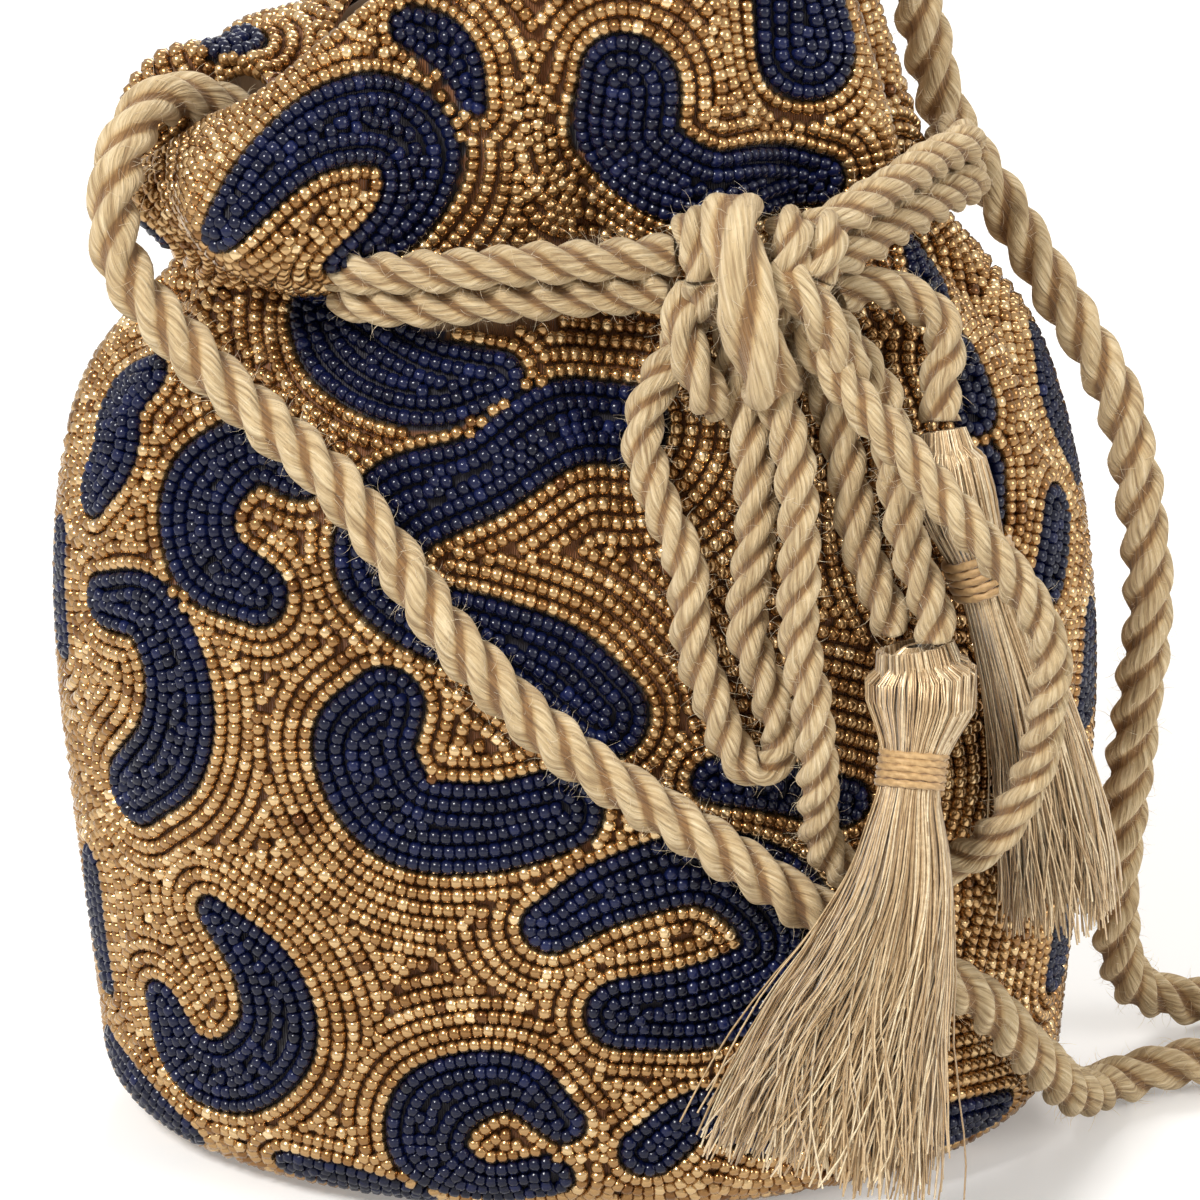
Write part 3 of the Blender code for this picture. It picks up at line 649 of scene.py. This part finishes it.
def addKnot():
    paths = []
    t = np.linspace(0, math.tau, 15)
    for index, (middle, depth, height, lean) in enumerate(knot["turns"]):
        offsets = [lean * knot["sway"] * np.sin(t) + knot["kink"] * np.sin(2 * t), -depth * np.cos(t),
                   height * knot["squash"] * np.sin(t)]
        paths.append((np.array(middle) + np.stack(offsets, 1), knot["turnThickness"], 1.0, 1.3 * index))
    for index, (thickness, twist, strap) in enumerate(knot["straps"]):
        paths.append((np.array(strap), thickness, twist, 0.4 + index))
    pieces = [ropeMesh("knotPart", smoothLine(path * mm, rope["step"])[0], drawstring["diameter"] * thickness,
                       twist=twist, phase=phase) for path, thickness, twist, phase in paths]
    mesh = joinedMesh("woundKnot", pieces)
    sealPoles(mesh)
    mesh.shade_smooth()
    for piece in pieces:
        bpy.data.objects.remove(piece)
    return link("woundKnot", mesh, cordFinish)


woundKnot = riding(addKnot(), "beige_cord", "bow_knot")
print("knot is wound")


# Loose fibres that stand off the cotton

fuzz = {
    "perSquareMetre": 260000, "length": 0.0026, "radius": 0.00004, "seed": 4,
    "bends": [(0.0, 0.0), (0.10, 0.45), (0.34, 0.80), (0.62, 1.0)],     # sideways and up, in lengths
    "lean": 1.1, "shortest": 0.35, "lowest": 0.0002,
}


def fibreBody():
    # one bent fibre along z, three-sided
    points = []
    for k, (side, up) in enumerate(fuzz["bends"]):
        radius = fuzz["radius"] * (1 - 0.25 * k)
        points += [(fuzz["length"] * side + radius * math.cos(math.tau * i / 3),
                    radius * math.sin(math.tau * i / 3), fuzz["length"] * up) for i in range(3)]
    faces = [(3 * k + i, 3 * k + (i + 1) % 3, 3 * k + 3 + (i + 1) % 3, 3 * k + 3 + i)
             for k in range(len(fuzz["bends"]) - 1) for i in range(3)] + [(2, 1, 0), (9, 10, 11)]
    return repeatedBody("fibreBody", points, faces)


def fuzzTree(finish):
    tree, identifiers, given = startTree("cordFuzz", {
        "Fibre": ("Object", None), "Density": ("Float", 1.0), "Seed": ("Int", 1)})
    scatter = addNode(tree, "GeometryNodeDistributePointsOnFaces", {
        "Mesh": given["Geometry"], "Density": given["Density"], "Seed": given["Seed"]})
    fibre = addNode(tree, "GeometryNodeObjectInfo", {"Object": given["Fibre"]})
    most = fuzz["lean"]
    turn = addNode(tree, "FunctionNodeRandomValue", {
        0: (-most, -most, 0), 1: (most, most, math.tau)}, data_type="FLOAT_VECTOR")
    size = addNode(tree, "FunctionNodeRandomValue", {2: fuzz["shortest"], 3: 1.0}, data_type="FLOAT")
    place = addNode(tree, "GeometryNodeInstanceOnPoints", {
        "Points": scatter.outputs["Points"], "Instance": fibre.outputs["Geometry"],
        "Rotation": scatter.outputs["Rotation"], "Scale": size.outputs[1]})
    lean = addNode(tree, "GeometryNodeRotateInstances", {
        "Instances": place.outputs["Instances"], "Rotation": turn.outputs[0]})
    endTree(tree, lean.outputs["Instances"], finish)
    return tree, identifiers


def fibreFinish():
    finish, tree, shader = newFinish("cottonFibre")
    tone = colourRamp(tree, noiseOf(tree, objectPlace(tree), 300), [
        (0.3, (0.62, 0.47, 0.28)), (0.7, (0.88, 0.74, 0.52))])
    setInputs(tree, shader, {"Base Color": tone, "Roughness": 0.9, "Sheen Weight": 0.3})
    return finish


def growFuzz():
    cotton = [entry[0] for entry in ropes.values()] + [woundKnot]
    source = link("fuzzSource", joinedMesh("fuzzSource", cotton))
    fibre = fibreBody()
    tree, identifiers = fuzzTree(fibreFinish())
    grown = grownMesh("cord_fuzz", source, tree, {
        identifiers["Fibre"]: fibre, identifiers["Density"]: fuzz["perSquareMetre"],
        identifiers["Seed"]: fuzz["seed"]})
    bpy.data.objects.remove(fibre)
    for vertex in grown.data.vertices:
        vertex.co.z = max(vertex.co.z, fuzz["lowest"])
    return grown


riding(growFuzz(), "beige_cord")
print("cords are fuzzy")


# Beadwork: navy fields as strokes (degrees, mm up the cloth, half width in mm)

motifs = {
    "collar_back_left": [(158, 192, 3.0), (150, 191, 3.8)],
    "collar_end_left": [(-158, 176, 3.4), (-174, 170, 4.4)],
    "collar_hook": [(-128, 187, 2.2), (-120, 194, 4.4), (-113, 194, 5.2), (-106, 189, 6.0), (-104, 182, 5.6),
                    (-108, 175, 4.2), (-116, 172, 2.8)],
    "collar_wedge": [(-102, 199, 2.4), (-96, 194, 3.0), (-95, 188, 1.6)],
    "collar_heel": [(-73, 190, 7.4), (-75, 181, 7.6), (-67, 175, 5.8), (-57, 174, 5.0), (-44, 171, 3.4)],
    "collar_right_drop": [(-39, 197, 6.6), (-40, 191, 7.4)],
    "front_crescent": [(-127, 157, 5.0), (-118, 151, 6.8), (-106, 146, 6.0), (-97, 147, 3.4)],
    "front_figure_top": [(-81, 136, 5.2), (-90, 138, 5.8), (-99, 131, 5.4), (-108, 126, 6.4), (-111, 117, 5.4),
                         (-106, 110, 4.8), (-99, 107, 5.4), (-92, 102, 6.6), (-87, 95, 6.4)],
    "front_figure_foot": [(-110, 96, 5.0), (-113, 88, 7.2), (-109, 78, 7.2), (-100, 77, 6.6), (-92, 80, 6.0)],
    "left_hook": [(-155, 141, 3.0), (-160, 135, 5.4), (-156, 128, 5.2), (-159, 120, 3.8)],
    "left_curl": [(-121, 130, 3.0), (-129, 133, 4.6), (-136, 125, 6.0), (-134, 115, 6.0), (-126, 111, 4.4)],
    "left_low_hook": [(-153, 103, 3.6), (-143, 104, 5.0), (-138, 94, 5.6), (-140, 82, 6.0), (-148, 73, 5.2)],
    "left_end_sliver": [(-172, 107, 3.6), (-170, 92, 4.0)],
    "left_end_drop": [(-166, 53, 3.2), (-168, 42, 4.4), (-166, 34, 3.0)],
    "left_comma": [(-135, 56, 2.4), (-128, 48, 5.2), (-127, 37, 5.8), (-134, 28, 5.6), (-143, 28, 5.4),
                   (-147, 36, 3.6)],
    "left_corner": [(-168, 20, 3.6), (-157, 16, 4.8), (-147, 13, 3.4)],
    "front_low_left": [(-127, 13, 2.8), (-118, 11, 4.0), (-111, 9, 3.2)],
    "front_low_c": [(-92, 27, 2.8), (-98, 34, 4.4), (-106, 30, 5.8), (-108, 21, 5.4), (-102, 15, 4.2),
                    (-94, 17, 3.6)],
    "front_hook": [(-93, 61, 3.8), (-86, 67, 4.8), (-76, 70, 5.6), (-68, 63, 6.6), (-67, 53, 6.2),
                   (-75, 47, 6.8), (-85, 46, 5.4)],
    "front_dash": [(-75, 84, 3.0), (-68, 82, 3.4), (-60, 78, 3.2)],
    "right_shoulder": [(-20, 155, 3.8), (-27, 150, 3.4)],
    "right_upper_drop": [(-32, 139, 3.6), (-33, 131, 3.6)],
    "right_middle_drop": [(-35, 122, 3.8), (-37, 116, 4.2)],
    "right_dash": [(-18, 111, 4.0), (-24, 103, 3.8)],
    "right_end_curl": [(3, 132, 3.0), (-3, 124, 4.2), (-1, 114, 3.6)],
    "right_end_drop": [(-8, 91, 3.6), (-11, 80, 4.6)],
    "right_low_drop": [(-14, 46, 3.8), (-14, 36, 4.4)],
    "right_corner": [(-30, 16, 3.2), (-41, 17, 4.0), (-50, 18, 3.6)],
    "front_low_right": [(-82, 22, 4.0), (-76, 28, 3.6), (-68, 24, 4.0)],
    "back_low_left": [(152, 40, 3.2), (144, 48, 5.0), (132, 44, 5.4), (128, 33, 3.6)],
    "back_low_middle": [(106, 60, 3.6), (96, 66, 5.4), (84, 60, 6.0), (78, 50, 4.2)],
    "back_low_right": [(52, 36, 3.4), (42, 44, 5.2), (30, 38, 5.4), (24, 28, 3.4)],
    "back_middle_right": [(70, 98, 3.6), (58, 104, 5.8), (48, 94, 5.6), (52, 84, 3.4)],
    "back_collar": [(104, 176, 3.6), (92, 182, 5.2), (78, 180, 4.4), (68, 174, 3.0)],
}

beadwork = {
    "across": 0.0024, "along": 0.00172,       # from row to row, and from bead to bead on a thread
    "beadWidth": 0.00222, "beadLength": 0.00166,
    "columns": 1080, "rows": 430,             # of the chart on which the rows are drawn
    "lowest": 0.0012, "rimRow": 0.0006,       # the lowest row up the cloth, and the rim's row below the rim
    "strokeStep": 0.0012, "aimReach": 0.0006,
    "nearest": 0.00136,                       # a bead this near another is left out
    "fillNearest": 0.00150,                   # a gap this wide between rows gets a bead of its own
    "fuller": 0.0006,                         # the navy fields reach this far past their drawn strokes
    "proud": 0.0004,                          # the beads' tops stand this far above the bag's face
    "wobble": 0.10, "tone": (0.52, 0.17),     # spread of the lean, and mean and spread of the tone
    "seed": 7, "goldPieces": 6,
    "bare": [(-108, 158, 4.0), (-96, 161, 5.0), (-84, 160, 4.5)],   # plain cloth under the drawstring
    "bareMargin": 0.0003,
}


def strokeDiscs(stroke):
    # middles and radii of the discs that a stroke is painted with
    discs = []
    for a, b, c, d in spansOf(np.array(stroke) * (1, mm, mm)):
        span = np.linalg.norm(bagFace(b[0], b[1]) - bagFace(c[0], c[1]))
        steps = max(2, int(span / beadwork["strokeStep"]))
        discs.append(spanPoints(a, b, c, d, (np.arange(steps + 1) / steps)[:, None]))
    discs = np.vstack(discs)
    return bagFace(discs[:, 0], discs[:, 1]), discs[:, 2]


def distanceTo(chart, centres, radii):
    flat = chart.reshape(-1, 3)
    best = np.full(len(flat), 9.0, np.float32)
    for centre, radius in zip(centres.astype(np.float32), radii):
        away = flat - centre
        np.minimum(best, np.sqrt(np.einsum("ij,ij->i", away, away)) - np.float32(radius), out=best)
    return best.reshape(chart.shape[:2])


angles = 360 * np.arange(beadwork["columns"]) / beadwork["columns"] - 90
heights = np.linspace(beadwork["lowest"], rimLength, beadwork["rows"])
chart = bagFace(angles[None, :], heights[:, None]).astype(np.float32)
chartNormal = bagNormal(angles[None, :], heights[:, None]).astype(np.float32)
discList = [strokeDiscs(stroke) for stroke in motifs.values()]
navyDiscs = (np.vstack([centres for centres, _ in discList]),
             np.concatenate([radii for _, radii in discList]) + beadwork["fuller"])
navyField = distanceTo(chart, *navyDiscs)
print("bead chart is drawn:", chart.shape)


def chartLines(field, level):
    # marching squares: ordered lines of (row, column) places where field equals level
    inside = field > level
    wrapped = np.concatenate([inside, inside[:, :1]], 1)
    wrapped = np.concatenate([inside, inside[:, :1]], 1)
    corner = wrapped[:-1, :-1]
    mixedCells = (corner != wrapped[1:, :-1]) | (corner != wrapped[:-1, 1:]) | (corner != wrapped[1:, 1:])
    joins = {}
    for row, column in zip(*np.nonzero(mixedCells)):
        nextColumn = (column + 1) % field.shape[1]
        corners = ((row, column), (row, nextColumn), (row + 1, nextColumn), (row + 1, column))
        crossed = []
        for k in range(4):
            first, second = corners[k], corners[(k + 1) % 4]
            if inside[first] != inside[second]:
                crossed.append((min(first, second), max(first, second)))
        for k in range(0, len(crossed) - 1, 2):
            joins.setdefault(crossed[k], []).append(crossed[k + 1])
            joins.setdefault(crossed[k + 1], []).append(crossed[k])
    lines, used = [], set()
    starts = [edge for edge, others in joins.items() if len(others) == 1] + list(joins)
    for start in starts:
        if start in used:
            continue
        line, here = [start], start
        used.add(start)
        while True:
            ahead = [edge for edge in joins[here] if edge not in used]
            if not ahead:
                break
            here = ahead[0]
            used.add(here)
            line.append(here)
        if len(line) > 3:
            closed = line[0] in joins[line[-1]] and len(line) > 5
            lines.append((line, closed))
    return lines


def linePlaces(field, level, line, closed):
    first = np.array([edge[0] for edge in line])
    second = np.array([edge[1] for edge in line])
    a, b = field[first[:, 0], first[:, 1]], field[second[:, 0], second[:, 1]]
    part = ((level - a) / np.where(np.abs(b - a) < 1e-9, 1e-9, b - a)).clip(0, 1)[:, None]
    pointA, pointB = chart[first[:, 0], first[:, 1]], chart[second[:, 0], second[:, 1]]
    normalA, normalB = chartNormal[first[:, 0], first[:, 1]], chartNormal[second[:, 0], second[:, 1]]
    places, normals = pointA + (pointB - pointA) * part, normalA + (normalB - normalA) * part
    if closed:
        places, normals = np.vstack([places, places[:1]]), np.vstack([normals, normals[:1]])
    return places, normals


def alongLine(places, normals):
    # bead middles, thread directions and normals along one row
    if len(places) > 8:
        inner = 0.25 * places[:-2] + 0.5 * places[1:-1] + 0.25 * places[2:]
        places = np.vstack([places[:1], inner, places[-1:]])
    run = runAlong(places)
    count = int(run[-1] / beadwork["along"] + 0.35)
    if count < 1:
        return np.zeros((0, 9))
    at = (np.arange(count) + 0.5) * run[-1] / count
    ahead = sampled(np.minimum(at + beadwork["aimReach"], run[-1]), run, places)
    behind = sampled(np.maximum(at - beadwork["aimReach"], 0), run, places)
    return np.hstack([sampled(at, run, places), ahead - behind, sampled(at, run, normals)])


class Occupied:
    # a hash of bead middles, to keep beads off each other
    def __init__(self, size):
        self.size, self.cells = size, {}

    def claim(self, place, nearest):
        # takes the place and says so, unless a bead lies nearer to it than this
        x, y, z = [math.floor(value / self.size) for value in place]
        for dx, dy, dz in product((-1, 0, 1), repeat=3):
            for other in self.cells.get((x + dx, y + dy, z + dz), ()):
                if math.dist(other, place) < nearest:
                    return False
        self.cells.setdefault((x, y, z), []).append(place)
        return True


def layBeads():
    pitch = beadwork["across"]
    taken = Occupied(pitch)
    beads = []

    def layRows(field, level, navy):
        for line, closed in chartLines(field, level):
            for bead in alongLine(*linePlaces(field, level, line, closed)):
                if taken.claim(tuple(bead[:3]), beadwork["nearest"]):
                    beads.append((*bead, navy))

    rimField = (rimLength - heights)[:, None] * np.ones((1, beadwork["columns"]))
    layRows(rimField, beadwork["rimRow"], 0)
    for level in np.arange(-pitch * 0.5, float(navyField.min()), -pitch):
        layRows(navyField, float(level), 1)
    for level in np.arange(pitch * 0.5, float(navyField.max()), pitch):
        layRows(navyField, float(level), 0)
    # gaps between rows that meet are filled with single beads
    slopeRow, slopeColumn = np.gradient(navyField)
    for row in range(2, beadwork["rows"] - 2, 2):
        for column in range(0, beadwork["columns"], 2):
            here = chart[row, column]
            if taken.claim(tuple(here), beadwork["fillNearest"]):
                side = chart[row, (column + 1) % beadwork["columns"]] - here
                rise = chart[row + 1, column] - here
                ahead = -side * slopeRow[row, column] + rise * slopeColumn[row, column]
                if np.linalg.norm(ahead) < 1e-9:
                    ahead = side
                beads.append((*here, *ahead, *chartNormal[row, column], int(navyField[row, column] < 0)))
    beads = np.array(beads)
    # none on the bare cloth
    centres, radii = strokeDiscs(beadwork["bare"])
    away = np.linalg.norm(beads[:, None, :3] - centres[None], axis=2) - radii[None]
    return beads[away.min(1) > beadwork["bareMargin"]]


beads = layBeads()
print("beads are laid:", len(beads), "navy", int(beads[:, 9].sum()))


def beadBody():
    # a short rounded tube on the x axis, open underneath where it is sewn down
    half, radius = 0.5 * beadwork["beadLength"], 0.5 * beadwork["beadWidth"]
    stations = [(-half, 0.70), (-half * 0.55, 1.0), (half * 0.55, 1.0), (half, 0.70)]
    turns = np.radians([-18, 36, 90, 144, 198])
    points = [(x, share * radius * math.cos(turn), share * radius * math.sin(turn))
              for x, share in stations for turn in turns]
    faces = [(5 * k + i, 5 * k + 5 + i, 5 * k + 6 + i, 5 * k + 1 + i) for k in range(3) for i in range(4)]
    made = repeatedBody("beadBody", points, faces + [(0, 1, 2, 3, 4), (19, 18, 17, 16, 15)])
    if made.data.polygons[5].normal.z * made.data.polygons[5].center.z < 0:
        made.data.flip_normals()
    made.data.set_sharp_from_angle(angle=math.radians(60))
    return made


def beadTree(finish):
    tree, identifiers, given = startTree("sewnBeads", {
        "Bead": ("Object", None), "Size": ("Float", 1.0), "Size spread": ("Float", 0.05), "Seed": ("Int", 1)})
    up, thread = [addNode(tree, "GeometryNodeInputNamedAttribute", {"Name": name}, data_type="FLOAT_VECTOR")
                  for name in ("up", "thread")]
    turns = addNode(tree, "FunctionNodeAxesToRotation", {
        0: up.outputs["Attribute"], 1: thread.outputs["Attribute"]}, primary_axis="Z", secondary_axis="X")
    limits = {0: given["Size"], 1: given["Size spread"]}
    least, most = [addNode(tree, "ShaderNodeMath", limits, operation=kind) for kind in ("SUBTRACT", "ADD")]
    size = addNode(tree, "FunctionNodeRandomValue", {
        2: least.outputs[0], 3: most.outputs[0], "Seed": given["Seed"]}, data_type="FLOAT")
    bead = addNode(tree, "GeometryNodeObjectInfo", {"Object": given["Bead"]})
    place = addNode(tree, "GeometryNodeInstanceOnPoints", {
        "Points": given["Geometry"], "Instance": bead.outputs["Geometry"],
        "Rotation": turns.outputs["Rotation"], "Scale": size.outputs[1]})
    endTree(tree, place.outputs["Instances"], finish)
    return tree, identifiers


def sewBeads(name, rows, treeAndInputs, beadObject, seed):
    tree, identifiers = treeAndInputs
    rng = np.random.default_rng(seed)
    normal = rows[:, 6:9] / np.linalg.norm(rows[:, 6:9], axis=1, keepdims=True)
    middle = rows[:, :3] - normal * (0.5 * beadwork["beadWidth"] - beadwork["proud"])
    mesh = bpy.data.meshes.new(name + "Points")
    mesh.from_pydata(middle.tolist(), [], [])
    lean = normal + rng.normal(0, beadwork["wobble"], normal.shape)
    tone = rng.normal(*beadwork["tone"], len(rows)).clip(0.02, 1)
    addValues(mesh, {"up": lean, "thread": rows[:, 3:6] * 1000, "tone": tone})
    return grownMesh(name, link(name + "Points", mesh), tree, {
        identifiers["Bead"]: beadObject, identifiers["Seed"]: seed})


beadObject = beadBody()
goldTree, navyTree = beadTree(goldFinish), beadTree(navyFinish)
navyRows, goldRows = beads[beads[:, 9] == 1], beads[beads[:, 9] == 0]
goldOrder = np.argsort(np.arctan2(goldRows[:, 1], goldRows[:, 0]))
navyPiece = sewBeads("navy_beadwork", navyRows, navyTree, beadObject, beadwork["seed"])
riding(navyPiece, "navy_beads", *["navy_" + name for name in motifs])
for goldIndex, goldPart in enumerate(np.array_split(goldOrder, beadwork["goldPieces"]), 1):
    goldPiece = sewBeads("gold_beadwork_%d" % goldIndex, goldRows[goldPart], goldTree, beadObject,
                         beadwork["seed"] + goldIndex)
    riding(goldPiece, "gold_beads")
bpy.data.objects.remove(beadObject)
print("beads are sewn on")


# Backing cloth and lining

cloth = {"columns": 300, "rows": 150, "wall": 0.0005, "bareShade": 0.0025, "navyReach": 0.0008}
satin = {
    "top": 0.985, "lowerAt": 158, "lowerHalf": 30, "lower": 0.45,     # lower under the folded rim
    "gap": 0.0009, "floorGap": 0.0006, "seed": 11,
    "pleatDepth": 0.0007, "pleats": [(31, 0.45), (47, 0.35), (73, 0.2)],
    "pleatsFrom": 0.12, "pleatsGrow": 0.04,
}
clothTurns = 360 * np.arange(cloth["columns"]) / cloth["columns"] - 90


def addCloth():
    upCloth = np.linspace(0.0, rimLength, cloth["rows"])
    outer = under(clothTurns[None, :], upCloth[:, None], bag["clothUnder"] + 0 * upCloth[:, None])
    outer[:2, :, 2] = np.maximum(outer[:2, :, 2], 0.0)
    away = distanceTo(outer.astype(np.float32), *strokeDiscs(beadwork["bare"]))
    # bare is 1 on the plain cloth and 0 under the beads, where the finish paints the shade between the beads
    # deep brown
    bare = np.clip(0.5 - away / cloth["bareShade"], 0, 1)
    navy = (distanceTo(outer.astype(np.float32), *navyDiscs) < cloth["navyReach"]).astype(float)
    wall = bag["clothUnder"] + cloth["wall"]
    rim = under(clothTurns[None, :], upCloth[-1:, None], wall + 0 * upCloth[-1:, None])
    foot = outer[:1] * [1, 1, 0]
    points = np.concatenate([0 * foot, foot * [0.5, 0.5, 1], foot, outer[1:], rim])
    values = {title: np.concatenate([0 * share[:3], share[1:], share[-1:]])
              for title, share in (("bare", bare), ("navy", navy))}
    return gridMesh("beaded_cloth", points, clothMaterial, values)


def addLining():
    # satin with small upright pleats, a little looser than the cloth outside it
    fold = np.exp(-(turnBetween(clothTurns, satin["lowerAt"]) / satin["lowerHalf"]) ** 2)
    top = bodyLength + bag["collarHeight"] * (satin["top"] - satin["lower"] * fold)
    upCloth = top[None, :] * np.linspace(0.0, 1.0, cloth["rows"])[:, None]
    rng = np.random.default_rng(satin["seed"])
    pleat = sum(share * np.sin(np.radians(clothTurns) * count + rng.uniform(0, 6.28))
                for count, share in satin["pleats"])
    high = smoothStep((upCloth - satin["pleatsFrom"]) / satin["pleatsGrow"])
    inset = bag["shellWall"] + satin["gap"] + satin["pleatDepth"] * (1 + pleat[None, :]) * high
    inner = under(clothTurns[None, :], upCloth, inset)
    lowest = bag["shellWall"] + satin["floorGap"]
    inner[0, :, 2] = lowest
    inner[..., 2] = np.maximum(inner[..., 2], lowest)
    hub = 0 * inner[:1] + [0.0, 0.0, lowest]
    return gridMesh("satin_lining", np.concatenate([hub, inner])[:, ::-1], satinMaterial, {})


riding(addCloth(), "gold_beads", "outer_shell")
riding(addLining(), "tan_lining", "lining")
print("cloth and lining are made")


# Tassels: threads over a head, through a binding and into a loose skirt

tassels = {
    "front_tassel": {
        "route": [(48, -48, 99.5), (49, -49, 93), (48, -52, 84), (47, -55, 77), (46, -58, 66), (43, -60, 54),
                  (39, -62, 42), (34, -67, 22)],
        "sections": [(0.0, 7.0, 5.0), (0.04, 8.4, 6.4), (0.11, 8.3, 6.6), (0.165, 6.0, 5.0),
                     (0.20, 4.3, 3.9), (0.265, 4.4, 4.0), (0.34, 6.2, 5.0), (0.50, 9.5, 5.8),
                     (0.75, 14.0, 6.2), (1.0, 17.5, 6.5)],     # share of the length, half width, half depth
        "binding": (0.195, 0.262, 4.1, 3.7), "threads": 900, "seed": 3,
    },
    "back_tassel": {
        "route": [(52, -35, 127.5), (53, -37, 122), (55, -38, 115), (60, -39, 102), (66, -37, 83),
                  (70, -34, 62), (72, -30, 44)],
        "sections": [(0.0, 4.0, 3.5), (0.07, 6.0, 5.0), (0.14, 6.0, 5.0), (0.21, 4.4, 3.8), (0.29, 4.4, 3.8),
                     (0.50, 6.4, 4.4), (0.75, 7.6, 4.4), (1.0, 8.4, 4.2)],
        "binding": (0.215, 0.285, 4.4, 3.8), "threads": 560, "seed": 5,
    },
}

threadWork = {"radius": 0.00017, "sides": 3, "points": 18, "stray": 0.00012, "lowest": 0.0006, "windings": 5}


def threadTree(finish):
    tree, identifiers, given = startTree("tasselThreads", {"Thread radius": ("Float", 0.0002)})
    ring = addNode(tree, "GeometryNodeCurvePrimitiveCircle", {
        "Resolution": threadWork["sides"], "Radius": given["Thread radius"]})
    index = tree.nodes.new("GeometryNodeInputIndex")
    tone = addNode(tree, "FunctionNodeRandomValue", {"ID": index.outputs[0]}, data_type="FLOAT")
    store = addNode(tree, "GeometryNodeStoreNamedAttribute", {
        "Geometry": given["Geometry"], "Name": "tone", "Value": tone.outputs[1]},
        data_type="FLOAT", domain="CURVE")
    sweep = addNode(tree, "GeometryNodeCurveToMesh", {
        "Curve": store.outputs["Geometry"], "Profile Curve": ring.outputs["Curve"], "Fill Caps": True})
    endTree(tree, sweep.outputs["Mesh"], finish)
    return tree, identifiers["Thread radius"]


def threadCurves(name, lines):
    data = bpy.data.curves.new(name, "CURVE")
    data.dimensions = "3D"
    for line in lines:
        spline = data.splines.new("POLY")
        spline.points.add(len(line) - 1)
        spline.points.foreach_set("co", np.hstack([line, np.ones((len(line), 1))]).astype(np.float32).ravel())
    return link(name, data)


def tasselAxis(settings):
    # middle, across and through directions down the tassel, and its length
    axis, length = smoothLine(np.array(settings["route"]) * mm, 0.0005)
    ahead = np.gradient(axis, axis=0)
    ahead /= np.linalg.norm(ahead, axis=1, keepdims=True)
    across = np.array([1.0, 0, 0]) - ahead * ahead[:, :1]
    across /= np.linalg.norm(across, axis=1, keepdims=True)
    return (axis, across, np.cross(ahead, across)), length


def roundAxis(blocks, at, wide, deep, turn):
    along = np.linspace(0, 1, len(blocks[0]))
    axis, across, through = [sampled(at, along, block) for block in blocks]
    return axis + across * (wide * np.cos(turn))[:, None] + through * (deep * np.sin(turn))[:, None]


def addTassel(name, settings, tree, radiusInput):
    blocks, _ = tasselAxis(settings)
    rng = np.random.default_rng(settings["seed"])
    along = np.linspace(0, 1, len(blocks[0]))
    halves = sampled(along, np.array(settings["sections"])[:, 0], np.array(settings["sections"])[:, 1:]) * mm
    lines = []
    for _ in range(settings["threads"]):
        reach = rng.uniform(0.88, 1.0) if rng.random() < 0.80 else rng.uniform(0.66, 0.92)
        steps = np.linspace(0.004, reach, threadWork["points"])
        depth = math.sqrt(rng.uniform(0.42, 1.0))
        turn = rng.uniform(0, math.tau)
        drift = rng.normal(0, 0.30) + 0.22 * np.sin(steps * rng.uniform(3, 11) + rng.uniform(0, 6))
        loose = smoothStep((steps - 0.35) / 0.6)
        angle = turn + (steps - 0.3) * rng.normal(0.25, 0.35) * (1 - loose) + drift * loose
        close = np.minimum(1, np.maximum(0.25, steps / 0.05)) if depth > 0.8 else 1.0
        share = 0.97 * depth * close + loose * rng.normal(0, 0.14)
        wide, deep = sampled(steps, along, halves).T
        line = roundAxis(blocks, steps, share * wide, share * deep, angle)
        line += rng.normal(0, threadWork["stray"], line.shape) * loose[:, None]
        line[:, 2] = np.maximum(line[:, 2], threadWork["lowest"])
        lines.append(line)
    return grownMesh("threads_" + name, threadCurves(name + "Lines", lines), tree,
                     {radiusInput: threadWork["radius"]})


def addWinding(name, settings, turns):
    # the binding: one thread wound in close turns round the waist
    blocks, length = tasselAxis(settings)
    start, end, halfWidth, halfDepth = settings["binding"]
    steps = np.linspace(0, 1, turns * 28)
    wire = 0.5 * (end - start) * length / turns * 0.98
    path = roundAxis(blocks, start + (end - start) * steps, halfWidth * mm + wire * 0.9,
                     halfDepth * mm + wire * 0.9, math.tau * turns * steps)
    points, grooveShade, _ = ropePoints(path, 2 * wire * 1.04, twist=0.5)
    # the binding's tone is painted darker in the grooves of its wound thread, as shade
    values = {"grooveShade": grooveShade, "tone": 0.4 + 0.5 * grooveShade}
    piece = gridMesh("winding_" + name, points, bindingFinish, values)
    sealPoles(piece.data)
    return piece


tasselTree, threadRadius = threadTree(tasselFinish)
for tasselName, tasselSettings in tassels.items():
    hung = addTassel(tasselName, tasselSettings, tasselTree, threadRadius)
    wound = addWinding(tasselName, tasselSettings, threadWork["windings"])
    riding(hung, "champagne_thread", tasselName)
    riding(wound, "binding_thread", tasselName + "_binding")
print("tassels are tied")
